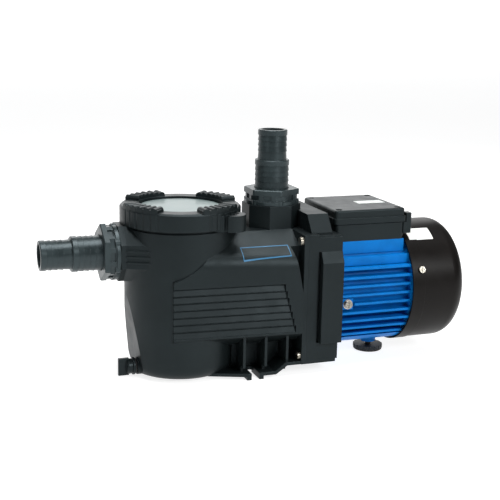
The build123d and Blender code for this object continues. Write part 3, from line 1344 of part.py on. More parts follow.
with BuildPart() as terminal_box_base:
    box_layer(PANEL_TOP, BOX_SPLIT, 0, 5.0)
    box_layer(PANEL_TOP + 3, BOX_SPLIT + 1, BOX_WALL, 3.0, Mode.SUBTRACT)
    for x, y in BOX_CORNERS:
        tube(Plane(origin=(x, y, 0)), PANEL_TOP, BOX_SPLIT, 4.2)
        tube(Plane(origin=(x, y, 0)), PANEL_TOP + 6, BOX_SPLIT + 1, BOX_SCREW_R, mode=Mode.SUBTRACT)
    gland = across(0, GLAND_Y, GLAND_Z)
    tube(gland, BOX_RIGHT_X - 4, BOX_RIGHT_X + 1, GLAND_STUB_R, mode=Mode.SUBTRACT)
    # the moulded block of the spare cable entry, blank, at the near corner
    spare = (-BOX_HALF + 0.5, -BOX_HALF + 9.5)
    slab((BOX_RIGHT_X - 1, BOX_RIGHT_X + 8.5), spare, (PANEL_TOP + 6, BOX_SPLIT))
    block_low = BOX_RIGHT_X + BOX_LID_EDGE + 0.5
    slab((block_low, BOX_RIGHT_X + 8.5), spare, (PANEL_TOP + 6, BOX_SPLIT + BOX_LIP + 3))
    tube(Plane(origin=(BOX_LEFT_X + 8, 0, 0)), PANEL_TOP - 1, PANEL_TOP + 5, 4, mode=Mode.SUBTRACT)

with BuildPart() as terminal_box_gasket:
    box_layer(BOX_SPLIT, BOX_SPLIT + 1, 1.0, 4.0)
    box_layer(BOX_SPLIT - 1, BOX_SPLIT + 2, BOX_WALL + 1, 3.0, Mode.SUBTRACT)
    for x, y in BOX_CORNERS:
        tube(Plane(origin=(x, y, 0)), BOX_SPLIT, BOX_SPLIT + 1, 4.0)
        tube(Plane(origin=(x, y, 0)), BOX_SPLIT - 1, BOX_SPLIT + 2, BOX_SCREW_R, mode=Mode.SUBTRACT)

with BuildPart() as terminal_box_lid:
    box_layer(BOX_SPLIT + 1, BOX_SPLIT + BOX_LIP, -BOX_LID_EDGE, 5.0)
    box_layer(BOX_SPLIT + BOX_LIP - 0.5, BOX_TOP, -0.3, 4.0)
    fillet(terminal_box_lid.faces().sort_by(Axis.Z)[-1].edges(), 2.4)
    box_layer(BOX_SPLIT, BOX_TOP - 3, BOX_WALL, 3.0, Mode.SUBTRACT)
    for x, y in BOX_CORNERS:
        spot = Plane(origin=(x, y, 0))
        tube(spot, BOX_SPLIT + 1, BOX_TOP - 2.5, 4.9)
        tube(spot, BOX_SPLIT, BOX_TOP + 1, BOX_SCREW_R + 0.2, mode=Mode.SUBTRACT)
        tube(spot, BOX_TOP - 4.0, BOX_TOP + 1, 3.9, mode=Mode.SUBTRACT)

with BuildPart() as terminal_lid_screws:
    for x, y in BOX_CORNERS:
        spot = Plane(origin=(x, y, 0))
        tube(spot, PANEL_TOP + 7, BOX_TOP - 3.5, BOX_SCREW_R)
        tube(spot, BOX_TOP - 4.0, BOX_TOP - 1.2, 3.4)
        with Locations(spot.offset(BOX_TOP - 1.2)):
            Box(4.6, 0.9, 2.0, mode=Mode.SUBTRACT)
            Box(0.9, 4.6, 2.0, mode=Mode.SUBTRACT)

with BuildPart() as terminal_block:
    slab((BOX_LEFT_X + 18, BOX_LEFT_X + 60), (-24, -4), (PANEL_TOP + 3, PANEL_TOP + 13))
    for i in range(4):
        x = BOX_LEFT_X + 24 + 10 * i
        slab((x - 4.2, x + 4.2), (-25, -19), (PANEL_TOP + 9, PANEL_TOP + 14), Mode.SUBTRACT)
        slab((x - 4.2, x + 4.2), (-9, -3), (PANEL_TOP + 9, PANEL_TOP + 14), Mode.SUBTRACT)
        tube(Plane(origin=(x, -14, 0)), PANEL_TOP + 7, PANEL_TOP + 14, 2.2, mode=Mode.SUBTRACT)

with BuildPart() as capacitor:
    spot = across(0, BOX_HALF - 20, PANEL_TOP + 3 + CAPACITOR_R)
    tube(spot, BOX_LEFT_X + 13, BOX_LEFT_X + 62, CAPACITOR_R)
    fillet(capacitor.edges().sort_by(Axis.X)[-1], 2.0)
    fillet(capacitor.edges().sort_by(Axis.X)[0], 2.0)
    for y in (-5, 5):
        post = across(0, BOX_HALF - 20 + y, PANEL_TOP + 3 + CAPACITOR_R)
        tube(post, BOX_LEFT_X + 60, BOX_LEFT_X + 66, 1.6)

# ---------------------------------------------------------------- cable gland
with BuildPart() as cable_gland_body:
    tube(gland, BOX_RIGHT_X - 4, BOX_RIGHT_X + 1, GLAND_STUB_R)
    with BuildSketch(gland.offset(BOX_RIGHT_X)) as hexagon:
        RegularPolygon(GLAND_HEX_R, 6)
        Circle(GLAND_HEX_R - 0.5, mode=Mode.INTERSECT)
    extrude(hexagon.sketch, amount=GLAND_HEX, dir=(1, 0, 0))
    tube(gland, BOX_RIGHT_X + GLAND_HEX - 1, BOX_RIGHT_X + GLAND_HEX + 5, GLAND_STUB_R)
    tube(gland, BOX_RIGHT_X - 6, BOX_RIGHT_X + GLAND_HEX + 6, GLAND_BORE_R, mode=Mode.SUBTRACT)

with BuildPart() as cable_gland_seal:
    low = BOX_RIGHT_X + GLAND_HEX + 5
    tube(gland, low, low + 4, GLAND_STUB_R, GLAND_BORE_R)

with BuildPart() as cable_gland_nut:
    low = BOX_RIGHT_X + GLAND_HEX
    high = BOX_RIGHT_X + GLAND_LENGTH + 2
    turn(
        [
            (GLAND_STUB_R, low),
            (GLAND_R, low),
            (GLAND_R, high - 4),
            (GLAND_R - 2.4, high),
            (GLAND_BORE_R, high),
            (GLAND_BORE_R, low + 9),
            (GLAND_STUB_R, low + 9),
        ],
        gland,
    )
    with Locations(gland.offset((low + high) / 2 - 2)):
        with PolarLocations(GLAND_R + 0.3, 12):
            Cylinder(0.8, 8.0, mode=Mode.SUBTRACT)

# ---------------------------------------------------------------- levelling foot
with BuildPart() as foot_pad:
    tube(LEVEL_AXIS, 0, LEVEL_SOLE, LEVEL_R - 0.5)
    chamfer(foot_pad.edges().group_by(Axis.Z)[0], 0.6)

with BuildPart() as foot_knob:
    low = LEVEL_SOLE + SEAT_GAP
    tube(LEVEL_AXIS, low, low + LEVEL_KNOB, LEVEL_R, LEVEL_STUD_R)
    with Locations((LEVEL_X, 0, low + LEVEL_KNOB / 2)):
        with PolarLocations(LEVEL_R + 1.2, 16):
            Cylinder(2.0, LEVEL_KNOB + 1, mode=Mode.SUBTRACT)

with BuildPart() as foot_stud:
    tube(LEVEL_AXIS, LEVEL_SOLE + SEAT_GAP, belly_low + 10, LEVEL_STUD_R)
    chamfer(foot_stud.edges().group_by(Axis.Z)[-1], 0.6)

# ---------------------------------------------------------------- every piece to its file
pieces = {
    "pump_housing": pump_housing,
    "strainer_basket": strainer_basket,
    "basket_handle": basket_handle,
    "lid": lid,
    "lid_seal": lid_seal,
    "lock_ring": lock_ring,
    "suction_tail": suction_tail,
    "suction_gasket": suction_gasket,
    "suction_nut": suction_nut,
    "discharge_tail": discharge_tail,
    "discharge_gasket": discharge_gasket,
    "discharge_nut": discharge_nut,
    "drain_plug": drain_plug,
    "drain_seal": drain_seal,
    "diffuser": diffuser,
    "impeller": impeller,
    "impeller_nut": impeller_nut,
    "seal_seat": seal_seat,
    "seal_seat_cup": seal_seat_cup,
    "seal_bellows": seal_bellows,
    "seal_face": seal_face,
    "motor_bracket": motor_bracket,
    "housing_seal": housing_seal,
    "flange_screws": flange_screws,
    "motor_shaft": motor_shaft,
    "rotor_core": rotor_core,
    "water_slinger": water_slinger,
    "bearing_outer_rings": bearing_outer_rings,
    "bearing_inner_rings": bearing_inner_rings,
    "bearing_balls": bearing_balls,
    "drive_end_shield": drive_end_shield,
    "rear_end_shield": rear_end_shield,
    "tie_rods": tie_rods,
    "motor_shell": motor_shell,
    "earth_washer": earth_washer,
    "earth_screw": earth_screw,
    "stator_core": stator_core,
    "stator_windings": stator_windings,
    "cooling_fan": cooling_fan,
    "fan_clip": fan_clip,
    "fan_cover": fan_cover,
    "fan_cover_screws": fan_cover_screws,
    "terminal_box_base": terminal_box_base,
    "terminal_box_gasket": terminal_box_gasket,
    "terminal_box_lid": terminal_box_lid,
    "terminal_lid_screws": terminal_lid_screws,
    "terminal_block": terminal_block,
    "capacitor": capacitor,
    "cable_gland_body": cable_gland_body,
    "cable_gland_seal": cable_gland_seal,
    "cable_gland_nut": cable_gland_nut,
    "foot_pad": foot_pad,
    "foot_knob": foot_knob,
    "foot_stud": foot_stud,
}

os.makedirs("parts", exist_ok=True)
for name, piece in pieces.items():
    piece.part.label = name
    export_step(piece.part, f"parts/{name}.step")
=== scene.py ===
import json
import math

import bmesh
import bpy
from mathutils import Matrix, Vector


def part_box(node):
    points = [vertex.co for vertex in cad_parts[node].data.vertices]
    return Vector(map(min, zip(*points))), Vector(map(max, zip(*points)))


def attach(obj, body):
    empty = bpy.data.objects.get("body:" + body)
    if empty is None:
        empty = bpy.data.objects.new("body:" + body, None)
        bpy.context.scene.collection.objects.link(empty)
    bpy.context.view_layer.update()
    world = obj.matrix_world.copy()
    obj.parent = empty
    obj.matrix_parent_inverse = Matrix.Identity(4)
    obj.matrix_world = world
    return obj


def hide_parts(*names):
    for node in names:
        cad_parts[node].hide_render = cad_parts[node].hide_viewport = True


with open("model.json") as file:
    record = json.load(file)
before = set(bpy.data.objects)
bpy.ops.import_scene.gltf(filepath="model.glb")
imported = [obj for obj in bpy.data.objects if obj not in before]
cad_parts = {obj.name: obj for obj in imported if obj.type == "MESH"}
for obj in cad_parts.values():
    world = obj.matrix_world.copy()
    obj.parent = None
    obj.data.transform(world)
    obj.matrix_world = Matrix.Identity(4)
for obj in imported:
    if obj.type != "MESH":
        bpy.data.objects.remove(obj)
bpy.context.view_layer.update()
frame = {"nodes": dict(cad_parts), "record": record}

bl_info = {
    "name": "Pool Pump Finishing",
    "version": (1, 0, 0),
    "blender": (4, 5, 0),
    "location": "View3D > Sidebar > Pool Pump",
    "description": "Finishes, labels, threads and studio for a self-priming pool pump",
    "category": "Add Mesh",
}

SHAFT_Z = 0.085  # height of the motor's shaft, metres
PLASTIC_IOR = 1.5
PLASTIC_GLEAM = (0.78, 0.94, 1.0, 1.0)  # the cool cast of dark plastic's highlights
EDGE_WEAR_AND_SHEEN_FACING = (0.985, 0.80)  # cosine between true and softened normal: off the edge, fully on the edge; the mask carries wear, and on plastics a painted sheen
SMOOTH_ANGLE = math.radians(35)

LABEL_HOVER = 0.004  # how far off a round face a label starts before it is pressed on
STICKER_INSET = 0.006  # from the fan cover's inner end
STICKER_CORNER = 0.0016
PLATE_INSET = (0.026, 0.046)  # from the terminal lid's far end and near edge to the plate's middle
PLATE_HOVER = 0.002
PLATE_CORNER = 0.0012
OUTLINE_SIZE = (0.055, 0.0135)
OUTLINE_INSET = (0.0265, 0.0128)  # from the discharge's axis, and from the housing's near side
STUD_SIDES = 48

CAMERA_PLACE = (-0.3723, -1.0610, 0.3863)
CAMERA_ANGLES = (20.05, 12.80, 1.15)  # yaw, pitch and roll, degrees
FLOOR_SIZE = 16.0
FLOOR_DROP = 0.0005
WALL_START = 1.0
WALL_RISE = (0, 3.0, 8.0)
SOFT_BOXES = {  # place, what it points at, and size
    "overhead": ((0.05, -0.10, 1.30), (0.02, 0, 0.08), (1.1, 0.7)),
    "front_key": ((0.75, -1.7, 1.1), (0.10, 0, 0.09), (0.7, 0.5)),
    "left_fill": ((-1.5, -0.7, 0.9), (-0.05, 0, 0.10), (0.5, 0.7)),
    "back_rim": ((0.5, 1.4, 1.1), (0.0, 0, 0.12), (1.2, 0.7)),
}
LEFT_FILL_SHARE = 0.12  # of the overhead light's power
BACK_RIM_SHARE = 0.3


# ---------------------------------------------------------------- sizes and colours
class PumpFinishSettings(bpy.types.PropertyGroup):
    """Colours and textures of the moulded, painted and metal surfaces."""

    housing_colour: bpy.props.FloatVectorProperty(
        name="Housing colour",
        description="Colour of the glass-filled housing plastic",
        subtype="COLOR",
        default=(0.0046, 0.0066, 0.0070),
        min=0,
        max=1,
    )
    motor_colour: bpy.props.FloatVectorProperty(
        name="Motor colour",
        description="Enamel on the finned motor shell",
        subtype="COLOR",
        default=(0.0, 0.165, 0.53),
        min=0,
        max=1,
    )
    cover_colour: bpy.props.FloatVectorProperty(
        name="Fan cover colour",
        description="Enamel on the pressed fan cover",
        subtype="COLOR",
        default=(0.0055, 0.0045, 0.0040),
        min=0,
        max=1,
    )
    lid_colour: bpy.props.FloatVectorProperty(
        name="Lid colour",
        description="Tint of the clear strainer lid",
        subtype="COLOR",
        default=(0.20, 0.265, 0.26),
        min=0,
        max=1,
    )
    grain: bpy.props.FloatProperty(
        name="Grain",
        description="Size of the spark-eroded grain on moulded plastic",
        default=0.0006,
        unit="LENGTH",
    )
    edge_radius: bpy.props.FloatProperty(
        name="Edge radius",
        description="Softening of the outside edges",
        default=0.0009,
        unit="LENGTH",
    )


class PumpLabelSettings(bpy.types.PropertyGroup):
    """Sizes of the blank labels, the printed outline and the levelling thread."""

    sticker_length: bpy.props.FloatProperty(
        name="Sticker length",
        description="Length of the fan cover's sticker along the shaft",
        default=0.031,
        unit="LENGTH",
    )
    sticker_angle: bpy.props.FloatProperty(
        name="Sticker angle",
        description="Where the sticker's middle stands round the fan cover, up from the rear",
        default=math.radians(120.7),
        subtype="ANGLE",
    )
    sticker_width: bpy.props.FloatProperty(
        name="Sticker width",
        description="Width of the fan cover's sticker round the cover",
        default=0.0192,
        unit="LENGTH",
    )
    plate_length: bpy.props.FloatProperty(
        name="Plate length",
        description="Length of the blank plate on the terminal box",
        default=0.034,
        unit="LENGTH",
    )
    plate_width: bpy.props.FloatProperty(
        name="Plate width",
        description="Width of the blank plate on the terminal box",
        default=0.016,
        unit="LENGTH",
    )
    outline_line: bpy.props.FloatProperty(
        name="Outline line",
        description="Width of the printed line on the housing's roof",
        default=0.0009,
        unit="LENGTH",
    )
    thickness: bpy.props.FloatProperty(
        name="Label thickness",
        description="Thickness of each label",
        default=0.00018,
        unit="LENGTH",
    )
    thread_pitch: bpy.props.FloatProperty(
        name="Thread pitch",
        description="Pitch of the levelling stud's thread",
        default=0.00125,
        unit="LENGTH",
    )


class PumpStageSettings(bpy.types.PropertyGroup):
    """Camera and light."""

    lens: bpy.props.FloatProperty(
        name="Lens",
        description="Focal length in millimetres",
        default=73.84,
    )
    key_power: bpy.props.FloatProperty(
        name="Key light",
        description="Power of the overhead soft box",
        default=20.0,
        unit="POWER",
    )
    front_share: bpy.props.FloatProperty(
        name="Front share",
        description="Power of the front light, as a share of the overhead one's",
        default=1.25,
    )
    room_light: bpy.props.FloatProperty(
        name="Room light",
        description="Strength of the plain light all round",
        default=0.16,
    )
    wall_glow: bpy.props.FloatProperty(
        name="Wall glow",
        description="Brightness of the plain wall behind the floor",
        default=1.06,
    )
    floor_glow: bpy.props.FloatProperty(
        name="Floor glow",
        description="Brightness that the paper floor adds, so that it is plain to its far end",
        default=0.80,
    )


# ---------------------------------------------------------------- node helpers
def add(tree, kind, **inputs):
    """A shader node with its inputs set by name; attributes start with a lower-case letter."""
    made = tree.nodes.new(kind)
    for key, value in inputs.items():
        if key[0].islower():
            setattr(made, key, value)
        else:
            made.inputs[key.replace("_", " ")].default_value = value
    return made


def wire(tree, source, target):
    """Links an output to an input."""
    tree.links.new(source, target)


def base_tree(name, colour, **principled):
    """A new material with a Principled shader and object coordinates."""
    material = bpy.data.materials.new(name)
    material.use_nodes = True
    tree = material.node_tree
    shader = tree.nodes["Principled BSDF"]
    shader.inputs["Base Color"].default_value = (*colour, 1)
    for key, value in principled.items():
        shader.inputs[key.replace("_", " ")].default_value = value
    material.diffuse_color = (*colour, 1)
    place = add(tree, "ShaderNodeTexCoord")
    return material, tree, shader, place.outputs["Object"]


def noise(tree, place, size, detail=3.0, rough=0.55):
    """Noise whose features are about the given size in metres."""
    made = add(tree, "ShaderNodeTexNoise", Scale=1.0 / size, Detail=detail, Roughness=rough)
    wire(tree, place, made.inputs["Vector"])
    return made.outputs["Fac"]


def tool_lines(tree, place, axis, scale, wander):
    """Fine parallel lines across an axis, wandering a little."""
    made = add(tree, "ShaderNodeTexWave", wave_type="BANDS", bands_direction=axis, Scale=scale)
    made.inputs["Distortion"].default_value = wander
    wire(tree, place, made.inputs["Vector"])
    return made.outputs["Fac"]


def ramp(tree, factor, low, high, a, b):
    """Maps a factor from low..high to a..b, with the ends held."""
    made = add(tree, "ShaderNodeMapRange")
    for key, value in (("From Min", low), ("From Max", high), ("To Min", a), ("To Max", b)):
        made.inputs[key].default_value = value
    wire(tree, factor, made.inputs["Value"])
    return made.outputs["Result"]


def tint(tree, factor, low, high):
    """Mixes two colours by a factor."""
    made = add(tree, "ShaderNodeMix", data_type="RGBA")
    for socket in made.inputs:
        if socket.identifier == "A_Color":
            socket.default_value = (*low, 1)
        if socket.identifier == "B_Color":
            socket.default_value = (*high, 1)
    wire(tree, factor, made.inputs["Factor"])
    return made


def colour_out(made):
    """The colour that a mixing node gives."""
    return next(s for s in made.outputs if s.identifier == "Result_Color")


def mottled(tree, texture, first, second, low=0.3, high=0.7):
    """Goes from one colour to another as a texture goes from low to high."""
    return colour_out(tint(tree, ramp(tree, texture, low, high, 0.0, 1.0), first, second))


def dress(tree, shader, colour, roughness, normal):
    """Wires a shader's colour, roughness and normal."""
    wire(tree, colour, shader.inputs["Base Color"])
    wire(tree, roughness, shader.inputs["Roughness"])
    wire(tree, normal, shader.inputs["Normal"])


def layer(tree, factor, below, colour):
    """Lays a colour over another colour's output by a factor."""
    made = add(tree, "ShaderNodeMix", data_type="RGBA")
    for socket in made.inputs:
        if socket.identifier == "B_Color":
            socket.default_value = (*colour, 1)
        if socket.identifier == "A_Color":
            wire(tree, below, socket)
    wire(tree, factor, made.inputs["Factor"])
    return colour_out(made)


def edge_mask(tree, radius):
    """A mask of 1 on outside edges, for wear and, on plastics, a painted sheen; and the softened
    normal.
    """
    soft = add(tree, "ShaderNodeBevel", samples=6, Radius=radius)
    shape = add(tree, "ShaderNodeNewGeometry")
    dot = add(tree, "ShaderNodeVectorMath", operation="DOT_PRODUCT")
    wire(tree, soft.outputs["Normal"], dot.inputs[0])
    wire(tree, shape.outputs["Normal"], dot.inputs[1])
    edge_wear_and_sheen = ramp(tree, dot.outputs["Value"], *EDGE_WEAR_AND_SHEEN_FACING, 0.0, 1.0)
    return edge_wear_and_sheen, soft.outputs["Normal"]


def broken_up(tree, mask, texture, low, high, least, most):
    """Breaks a mask up by a texture, so that it comes and goes along an edge."""
    made = add(tree, "ShaderNodeMath", operation="MULTIPLY")
    wire(tree, mask, made.inputs[0])
    wire(tree, ramp(tree, texture, low, high, least, most), made.inputs[1])
    return made.outputs["Value"]


def bump(tree, height, normal, strength, distance):
    """A normal that follows a height, on top of another normal where one is given."""
    made = add(tree, "ShaderNodeBump", Strength=strength, Distance=distance)
    wire(tree, height, made.inputs["Height"])
    if normal is not None:
        wire(tree, normal, made.inputs["Normal"])
    return made.outputs["Normal"]


# ---------------------------------------------------------------- finishes
def moulded_plastic(name, colour, roughness, grain, edge):
    """Moulded plastic: spark-eroded grain, faint flow clouds, and outside edges a little paler,
    partly rubbed wear and partly a painted sheen.
    """
    material, tree, shader, place = base_tree(
        name, colour, IOR=PLASTIC_IOR, Specular_IOR_Level=0.24, Specular_Tint=PLASTIC_GLEAM
    )
    clouds = noise(tree, place, 0.045, 4.0)
    fine = noise(tree, place, grain, 2.0)
    lifted = tuple(c * 1.35 for c in colour)
    body = mottled(tree, clouds, colour, lifted, low=0.35)
    edge_wear_and_sheen, soft = edge_mask(tree, edge)
    # paler outside edges: partly rubbed wear, partly a painted sheen where rounded edges would
    # catch the light
    rub_and_sheen = broken_up(tree, edge_wear_and_sheen, noise(tree, place, 0.008, 4.0), 0.35, 0.75, 0.10, 0.60)
    handled = noise(tree, place, 0.018, 5.0)
    dress(
        tree,
        shader,
        # edge colour laid over the body: wear and painted sheen
        layer(tree, rub_and_sheen, body, (0.014, 0.020, 0.022)),
        ramp(tree, handled, 0.3, 0.7, roughness - 0.05, roughness + 0.07),
        bump(tree, fine, soft, 0.28, 0.00006),
    )
    return material


def turned_plastic(name, colour, roughness, edge, axis):
    """Glossier plastic with fine tool lines round one axis, and outside edges a little paler,
    partly wear and partly a painted sheen.
    """
    material, tree, shader, place = base_tree(
        name, colour, IOR=PLASTIC_IOR, Specular_IOR_Level=0.42, Specular_Tint=PLASTIC_GLEAM
    )
    lines = tool_lines(tree, place, axis, 220.0, 0.6)
    clouds = noise(tree, place, 0.02, 4.0)
    lifted = tuple(c * 1.6 for c in colour)
    body = mottled(tree, clouds, colour, lifted, low=0.35)
    edge_wear_and_sheen, soft = edge_mask(tree, edge)
    dress(
        tree,
        shader,
        # paler outside edges: partly wear, partly a painted sheen
        layer(tree, ramp(tree, edge_wear_and_sheen, 0, 1, 0, 0.35), body, (0.020, 0.026, 0.028)),
        ramp(tree, clouds, 0.3, 0.7, roughness - 0.06, roughness + 0.06),
        bump(tree, lines, soft, 0.10, 0.00005),
    )
    return material


def enamel(name, colour, worn_colour, roughness, edge, gloss):
    """Sprayed enamel: orange peel, slow shifts of depth, and thin on the edges."""
    material, tree, shader, place = base_tree(
        name, colour, IOR=PLASTIC_IOR, Specular_IOR_Level=gloss
    )
    depth = noise(tree, place, 0.03, 4.0)
    deep = tuple(c * 0.72 for c in colour)
    body = mottled(tree, depth, deep, colour)
    edge_wear_and_sheen, soft = edge_mask(tree, edge)
    chips = broken_up(tree, edge_wear_and_sheen, noise(tree, place, 0.005, 5.0), 0.35, 0.7, 0.05, 0.55)
    peel = noise(tree, place, 0.0016, 1.0)
    dress(
        tree,
        shader,
        layer(tree, chips, body, worn_colour),
        ramp(tree, depth, 0.3, 0.7, roughness - 0.04, roughness + 0.06),
        bump(tree, peel, soft, 0.16, 0.00008),
    )
    return material


def metal(name, colour, roughness, axis=None, stain=None):
    """Bare or plated metal, with turning lines along an axis where it was machined."""
    material, tree, shader, place = base_tree(name, colour, Metallic=1.0)
    clouds = noise(tree, place, 0.004, 5.0)
    dull = stain or tuple(c * 0.8 for c in colour)
    if axis:
        height = tool_lines(tree, place, axis, 420.0, 1.5)
    else:
        height = noise(tree, place, 0.0007, 3.0)
    dress(
        tree,
        shader,
        mottled(tree, clouds, colour, dull, high=0.75),
        ramp(tree, clouds, 0.3, 0.7, roughness - 0.05, roughness + 0.1),
        bump(tree, height, None, 0.2, 0.00003),
    )
    return material


def rubber(name, colour):
    """Moulded rubber with a dusty bloom."""
    material, tree, shader, place = base_tree(name, colour, IOR=PLASTIC_IOR)
    bloom = noise(tree, place, 0.006, 5.0)
    pale = tuple(c + 0.02 for c in colour)
    dress(
        tree,
        shader,
        mottled(tree, bloom, colour, pale, low=0.4, high=0.8),
        ramp(tree, bloom, 0.3, 0.7, 0.66, 0.85),
        bump(tree, noise(tree, place, 0.0008, 3.0), None, 0.3, 0.00008),
    )
    return material


def clear_plastic(name, colour):
    """Clear lid plastic, a little frosted all over, with soft flow marks."""
    material, tree, shader, place = base_tree(
        name, colour, IOR=1.49, Transmission_Weight=0.30, Coat_Weight=0.2, Coat_Roughness=0.10
    )
    flow = noise(tree, place, 0.03, 4.0)
    deep = tuple(c * 0.86 for c in colour)
    dress(
        tree,
        shader,
        mottled(tree, flow, deep, colour),
        ramp(tree, flow, 0.3, 0.7, 0.36, 0.46),
        bump(tree, noise(tree, place, 0.002, 2.0), None, 0.05, 0.00008),
    )
    return material


def stacked_sheets(name, colour):
    """Edges of thin steel sheets stacked along the shaft."""
    material, tree, shader, place = base_tree(name, colour, Metallic=0.85)
    sheets = tool_lines(tree, place, "X", 320.0, 0.0)
    dark = tuple(c * 0.45 for c in colour)
    dress(
        tree,
        shader,
        colour_out(tint(tree, sheets, dark, colour)),
        ramp(tree, noise(tree, place, 0.004, 4.0), 0.3, 0.7, 0.35, 0.55),
        bump(tree, sheets, None, 0.4, 0.0001),
    )
    return material


def wire_bundle(name, colour):
    """Varnished wire, laid in strands round the shaft, with painted shade in the grooves between
    strands.
    """
    material, tree, shader, place = base_tree(
        name, colour, Metallic=0.55, Coat_Weight=0.6, Roughness=0.35
    )
    centre = add(tree, "ShaderNodeMapping")
    centre.inputs["Location"].default_value = (0, 0, -SHAFT_Z)
    wire(tree, place, centre.inputs["Vector"])
    made = add(tree, "ShaderNodeTexWave", wave_type="RINGS", rings_direction="X", Scale=260.0)
    made.inputs["Distortion"].default_value = 3.0
    wire(tree, centre.outputs["Vector"], made.inputs["Vector"])
    strands = made.outputs["Fac"]
    # darker where the strands' height is low: painted shade in the grooves between wires
    dark = tuple(c * 0.35 for c in colour)
    wire(tree, colour_out(tint(tree, strands, dark, colour)), shader.inputs["Base Color"])
    wire(tree, bump(tree, strands, None, 0.8, 0.0004), shader.inputs["Normal"])
    return material


def smooth_solid(name, colour, roughness, subsurface=0.0):
    """Plain moulded or fired material with a light grain."""
    material, tree, shader, place = base_tree(
        name, colour, IOR=PLASTIC_IOR, Subsurface_Weight=subsurface, Subsurface_Scale=0.004
    )
    clouds = noise(tree, place, 0.02, 4.0)
    deep = tuple(c * 0.88 for c in colour)
    dress(
        tree,
        shader,
        mottled(tree, clouds, deep, colour),
        ramp(tree, clouds, 0.3, 0.7, roughness - 0.04, roughness + 0.06),
        bump(tree, noise(tree, place, 0.0012, 2.0), None, 0.15, 0.00005),
    )
    return material


def printed_film(name, colour, roughness):
    """A label's film: a faint fibre, a soft sheen and slight yellowing in patches."""
    material, tree, shader, place = base_tree(name, colour, IOR=PLASTIC_IOR)
    patches = noise(tree, place, 0.008, 4.0)
    aged = (colour[0] * 0.93, colour[1] * 0.92, colour[2] * 0.87)
    dress(
        tree,
        shader,
        mottled(tree, patches, colour, aged, low=0.35),
        ramp(tree, patches, 0.3, 0.7, roughness - 0.05, roughness + 0.08),
        bump(tree, noise(tree, place, 0.0009, 3.0), None, 0.12, 0.00004),
    )
    return material


def finish_library(settings):
    """Every finish, by the record's material slot."""
    edge = settings.edge_radius
    grain = settings.grain
    housing = tuple(settings.housing_colour)
    darker = tuple(c * 0.85 for c in housing)
    union = tuple(c * 2.6 for c in housing)
    motor = tuple(settings.motor_colour)
    cover = tuple(settings.cover_colour)
    impeller, fan, gland = (0.02, 0.021, 0.023), (0.014, 0.014, 0.015), (0.013, 0.014, 0.015)
    zinc, zinc_stain = (0.34, 0.33, 0.30), (0.20, 0.18, 0.14)
    thin_motor, thin_cover = (0.0, 0.20, 0.62), (0.014, 0.012, 0.011)
    fine = grain * 0.8
    return {
        "housing_plastic": moulded_plastic("housing plastic", housing, 0.44, grain, edge),
        "bracket_plastic": moulded_plastic("bracket plastic", darker, 0.48, grain, edge),
        "ring_plastic": moulded_plastic("ring plastic", housing, 0.40, fine, edge * 1.2),
        "union_plastic": turned_plastic("union plastic", union, 0.33, edge * 0.6, "DIAGONAL"),
        "drain_plastic": moulded_plastic("drain plastic", housing, 0.38, grain, edge * 0.6),
        "basket_plastic": smooth_solid("basket plastic", (0.58, 0.62, 0.61), 0.42, 0.15),
        "clear_lid": clear_plastic("clear lid", tuple(settings.lid_colour)),
        "seal_rubber": rubber("seal rubber", (0.012, 0.012, 0.013)),
        "seal_ceramic": smooth_solid("seal ceramic", (0.80, 0.78, 0.72), 0.18),
        "seal_carbon": smooth_solid("seal carbon", (0.03, 0.03, 0.032), 0.30),
        "impeller_plastic": moulded_plastic(
            "impeller plastic", impeller, 0.40, grain, edge * 0.5
        ),
        "zinc_steel": metal("zinc plated steel", zinc, 0.30, stain=zinc_stain),
        "stainless": metal("stainless steel", (0.42, 0.41, 0.40), 0.25),
        "bright_steel": metal("bright steel", (0.60, 0.60, 0.61), 0.16, axis="X"),
        "motor_blue": enamel("motor enamel", motor, thin_motor, 0.44, edge * 0.7, 0.10),
        "cover_paint": enamel("cover enamel", cover, thin_cover, 0.36, edge * 0.5, 0.12),
        "box_plastic": moulded_plastic("box plastic", housing, 0.40, fine, edge * 0.8),
        "lamination": stacked_sheets("core sheets", (0.42, 0.42, 0.44)),
        "copper_winding": wire_bundle("winding wire", (0.72, 0.26, 0.09)),
        "fan_plastic": moulded_plastic("fan plastic", fan, 0.40, grain, edge * 0.6),
        "capacitor_case": smooth_solid("capacitor case", (0.74, 0.74, 0.71), 0.35),
        "gland_plastic": moulded_plastic("gland plastic", gland, 0.34, grain, edge * 0.5),
        "foot_rubber": rubber("foot rubber", (0.010, 0.010, 0.010)),
    }


class PUMP_OT_finishes(bpy.types.Operator):
    """Give every machined and moulded part its finish"""

    bl_idname = "pump.finishes"
    bl_label = "Finishes"
    bl_options = {"REGISTER", "UNDO"}

    def execute(self, context):
        library = finish_library(context.scene.pump_finish)
        slots = {s["node"]: s["material_slot"] for s in frame["record"]["subparts"]}
        for name, part in frame["nodes"].items():
            finish = library[slots[name]]
            part.data.materials.clear()
            part.data.materials.append(finish)
            for polygon in part.data.polygons:
                polygon.material_index = 0
        return {"FINISHED"}


# ---------------------------------------------------------------- making pieces
def start_fresh():
    """Leaves nothing selected, so that an operator acts only on the new piece."""
    bpy.ops.object.select_all(action="DESELECT")


def settle(piece, name, body, finish):
    """Puts a finished piece's place into its mesh, then names, paints and mounts it."""
    start_fresh()
    piece.select_set(True)
    bpy.context.view_layer.objects.active = piece
    for modifier in [m.name for m in piece.modifiers]:
        bpy.ops.object.modifier_apply(modifier=modifier)
    bpy.ops.object.transform_apply(location=True, rotation=True, scale=True)
    piece.name = name
    piece.data.materials.clear()
    piece.data.materials.append(finish)
    bpy.ops.object.shade_smooth_by_angle(angle=SMOOTH_ANGLE)
    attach(piece, body)
    return piece


def pick(mesh, test):
    """Selects the vertices whose place passes a test, in edit mode."""
    bpy.ops.mesh.select_all(action="DESELECT")
    shape = bmesh.from_edit_mesh(mesh)
    for vertex in shape.verts:
        vertex.select = test(vertex.co)
    shape.select_flush_mode()
    bmesh.update_edit_mesh(mesh)


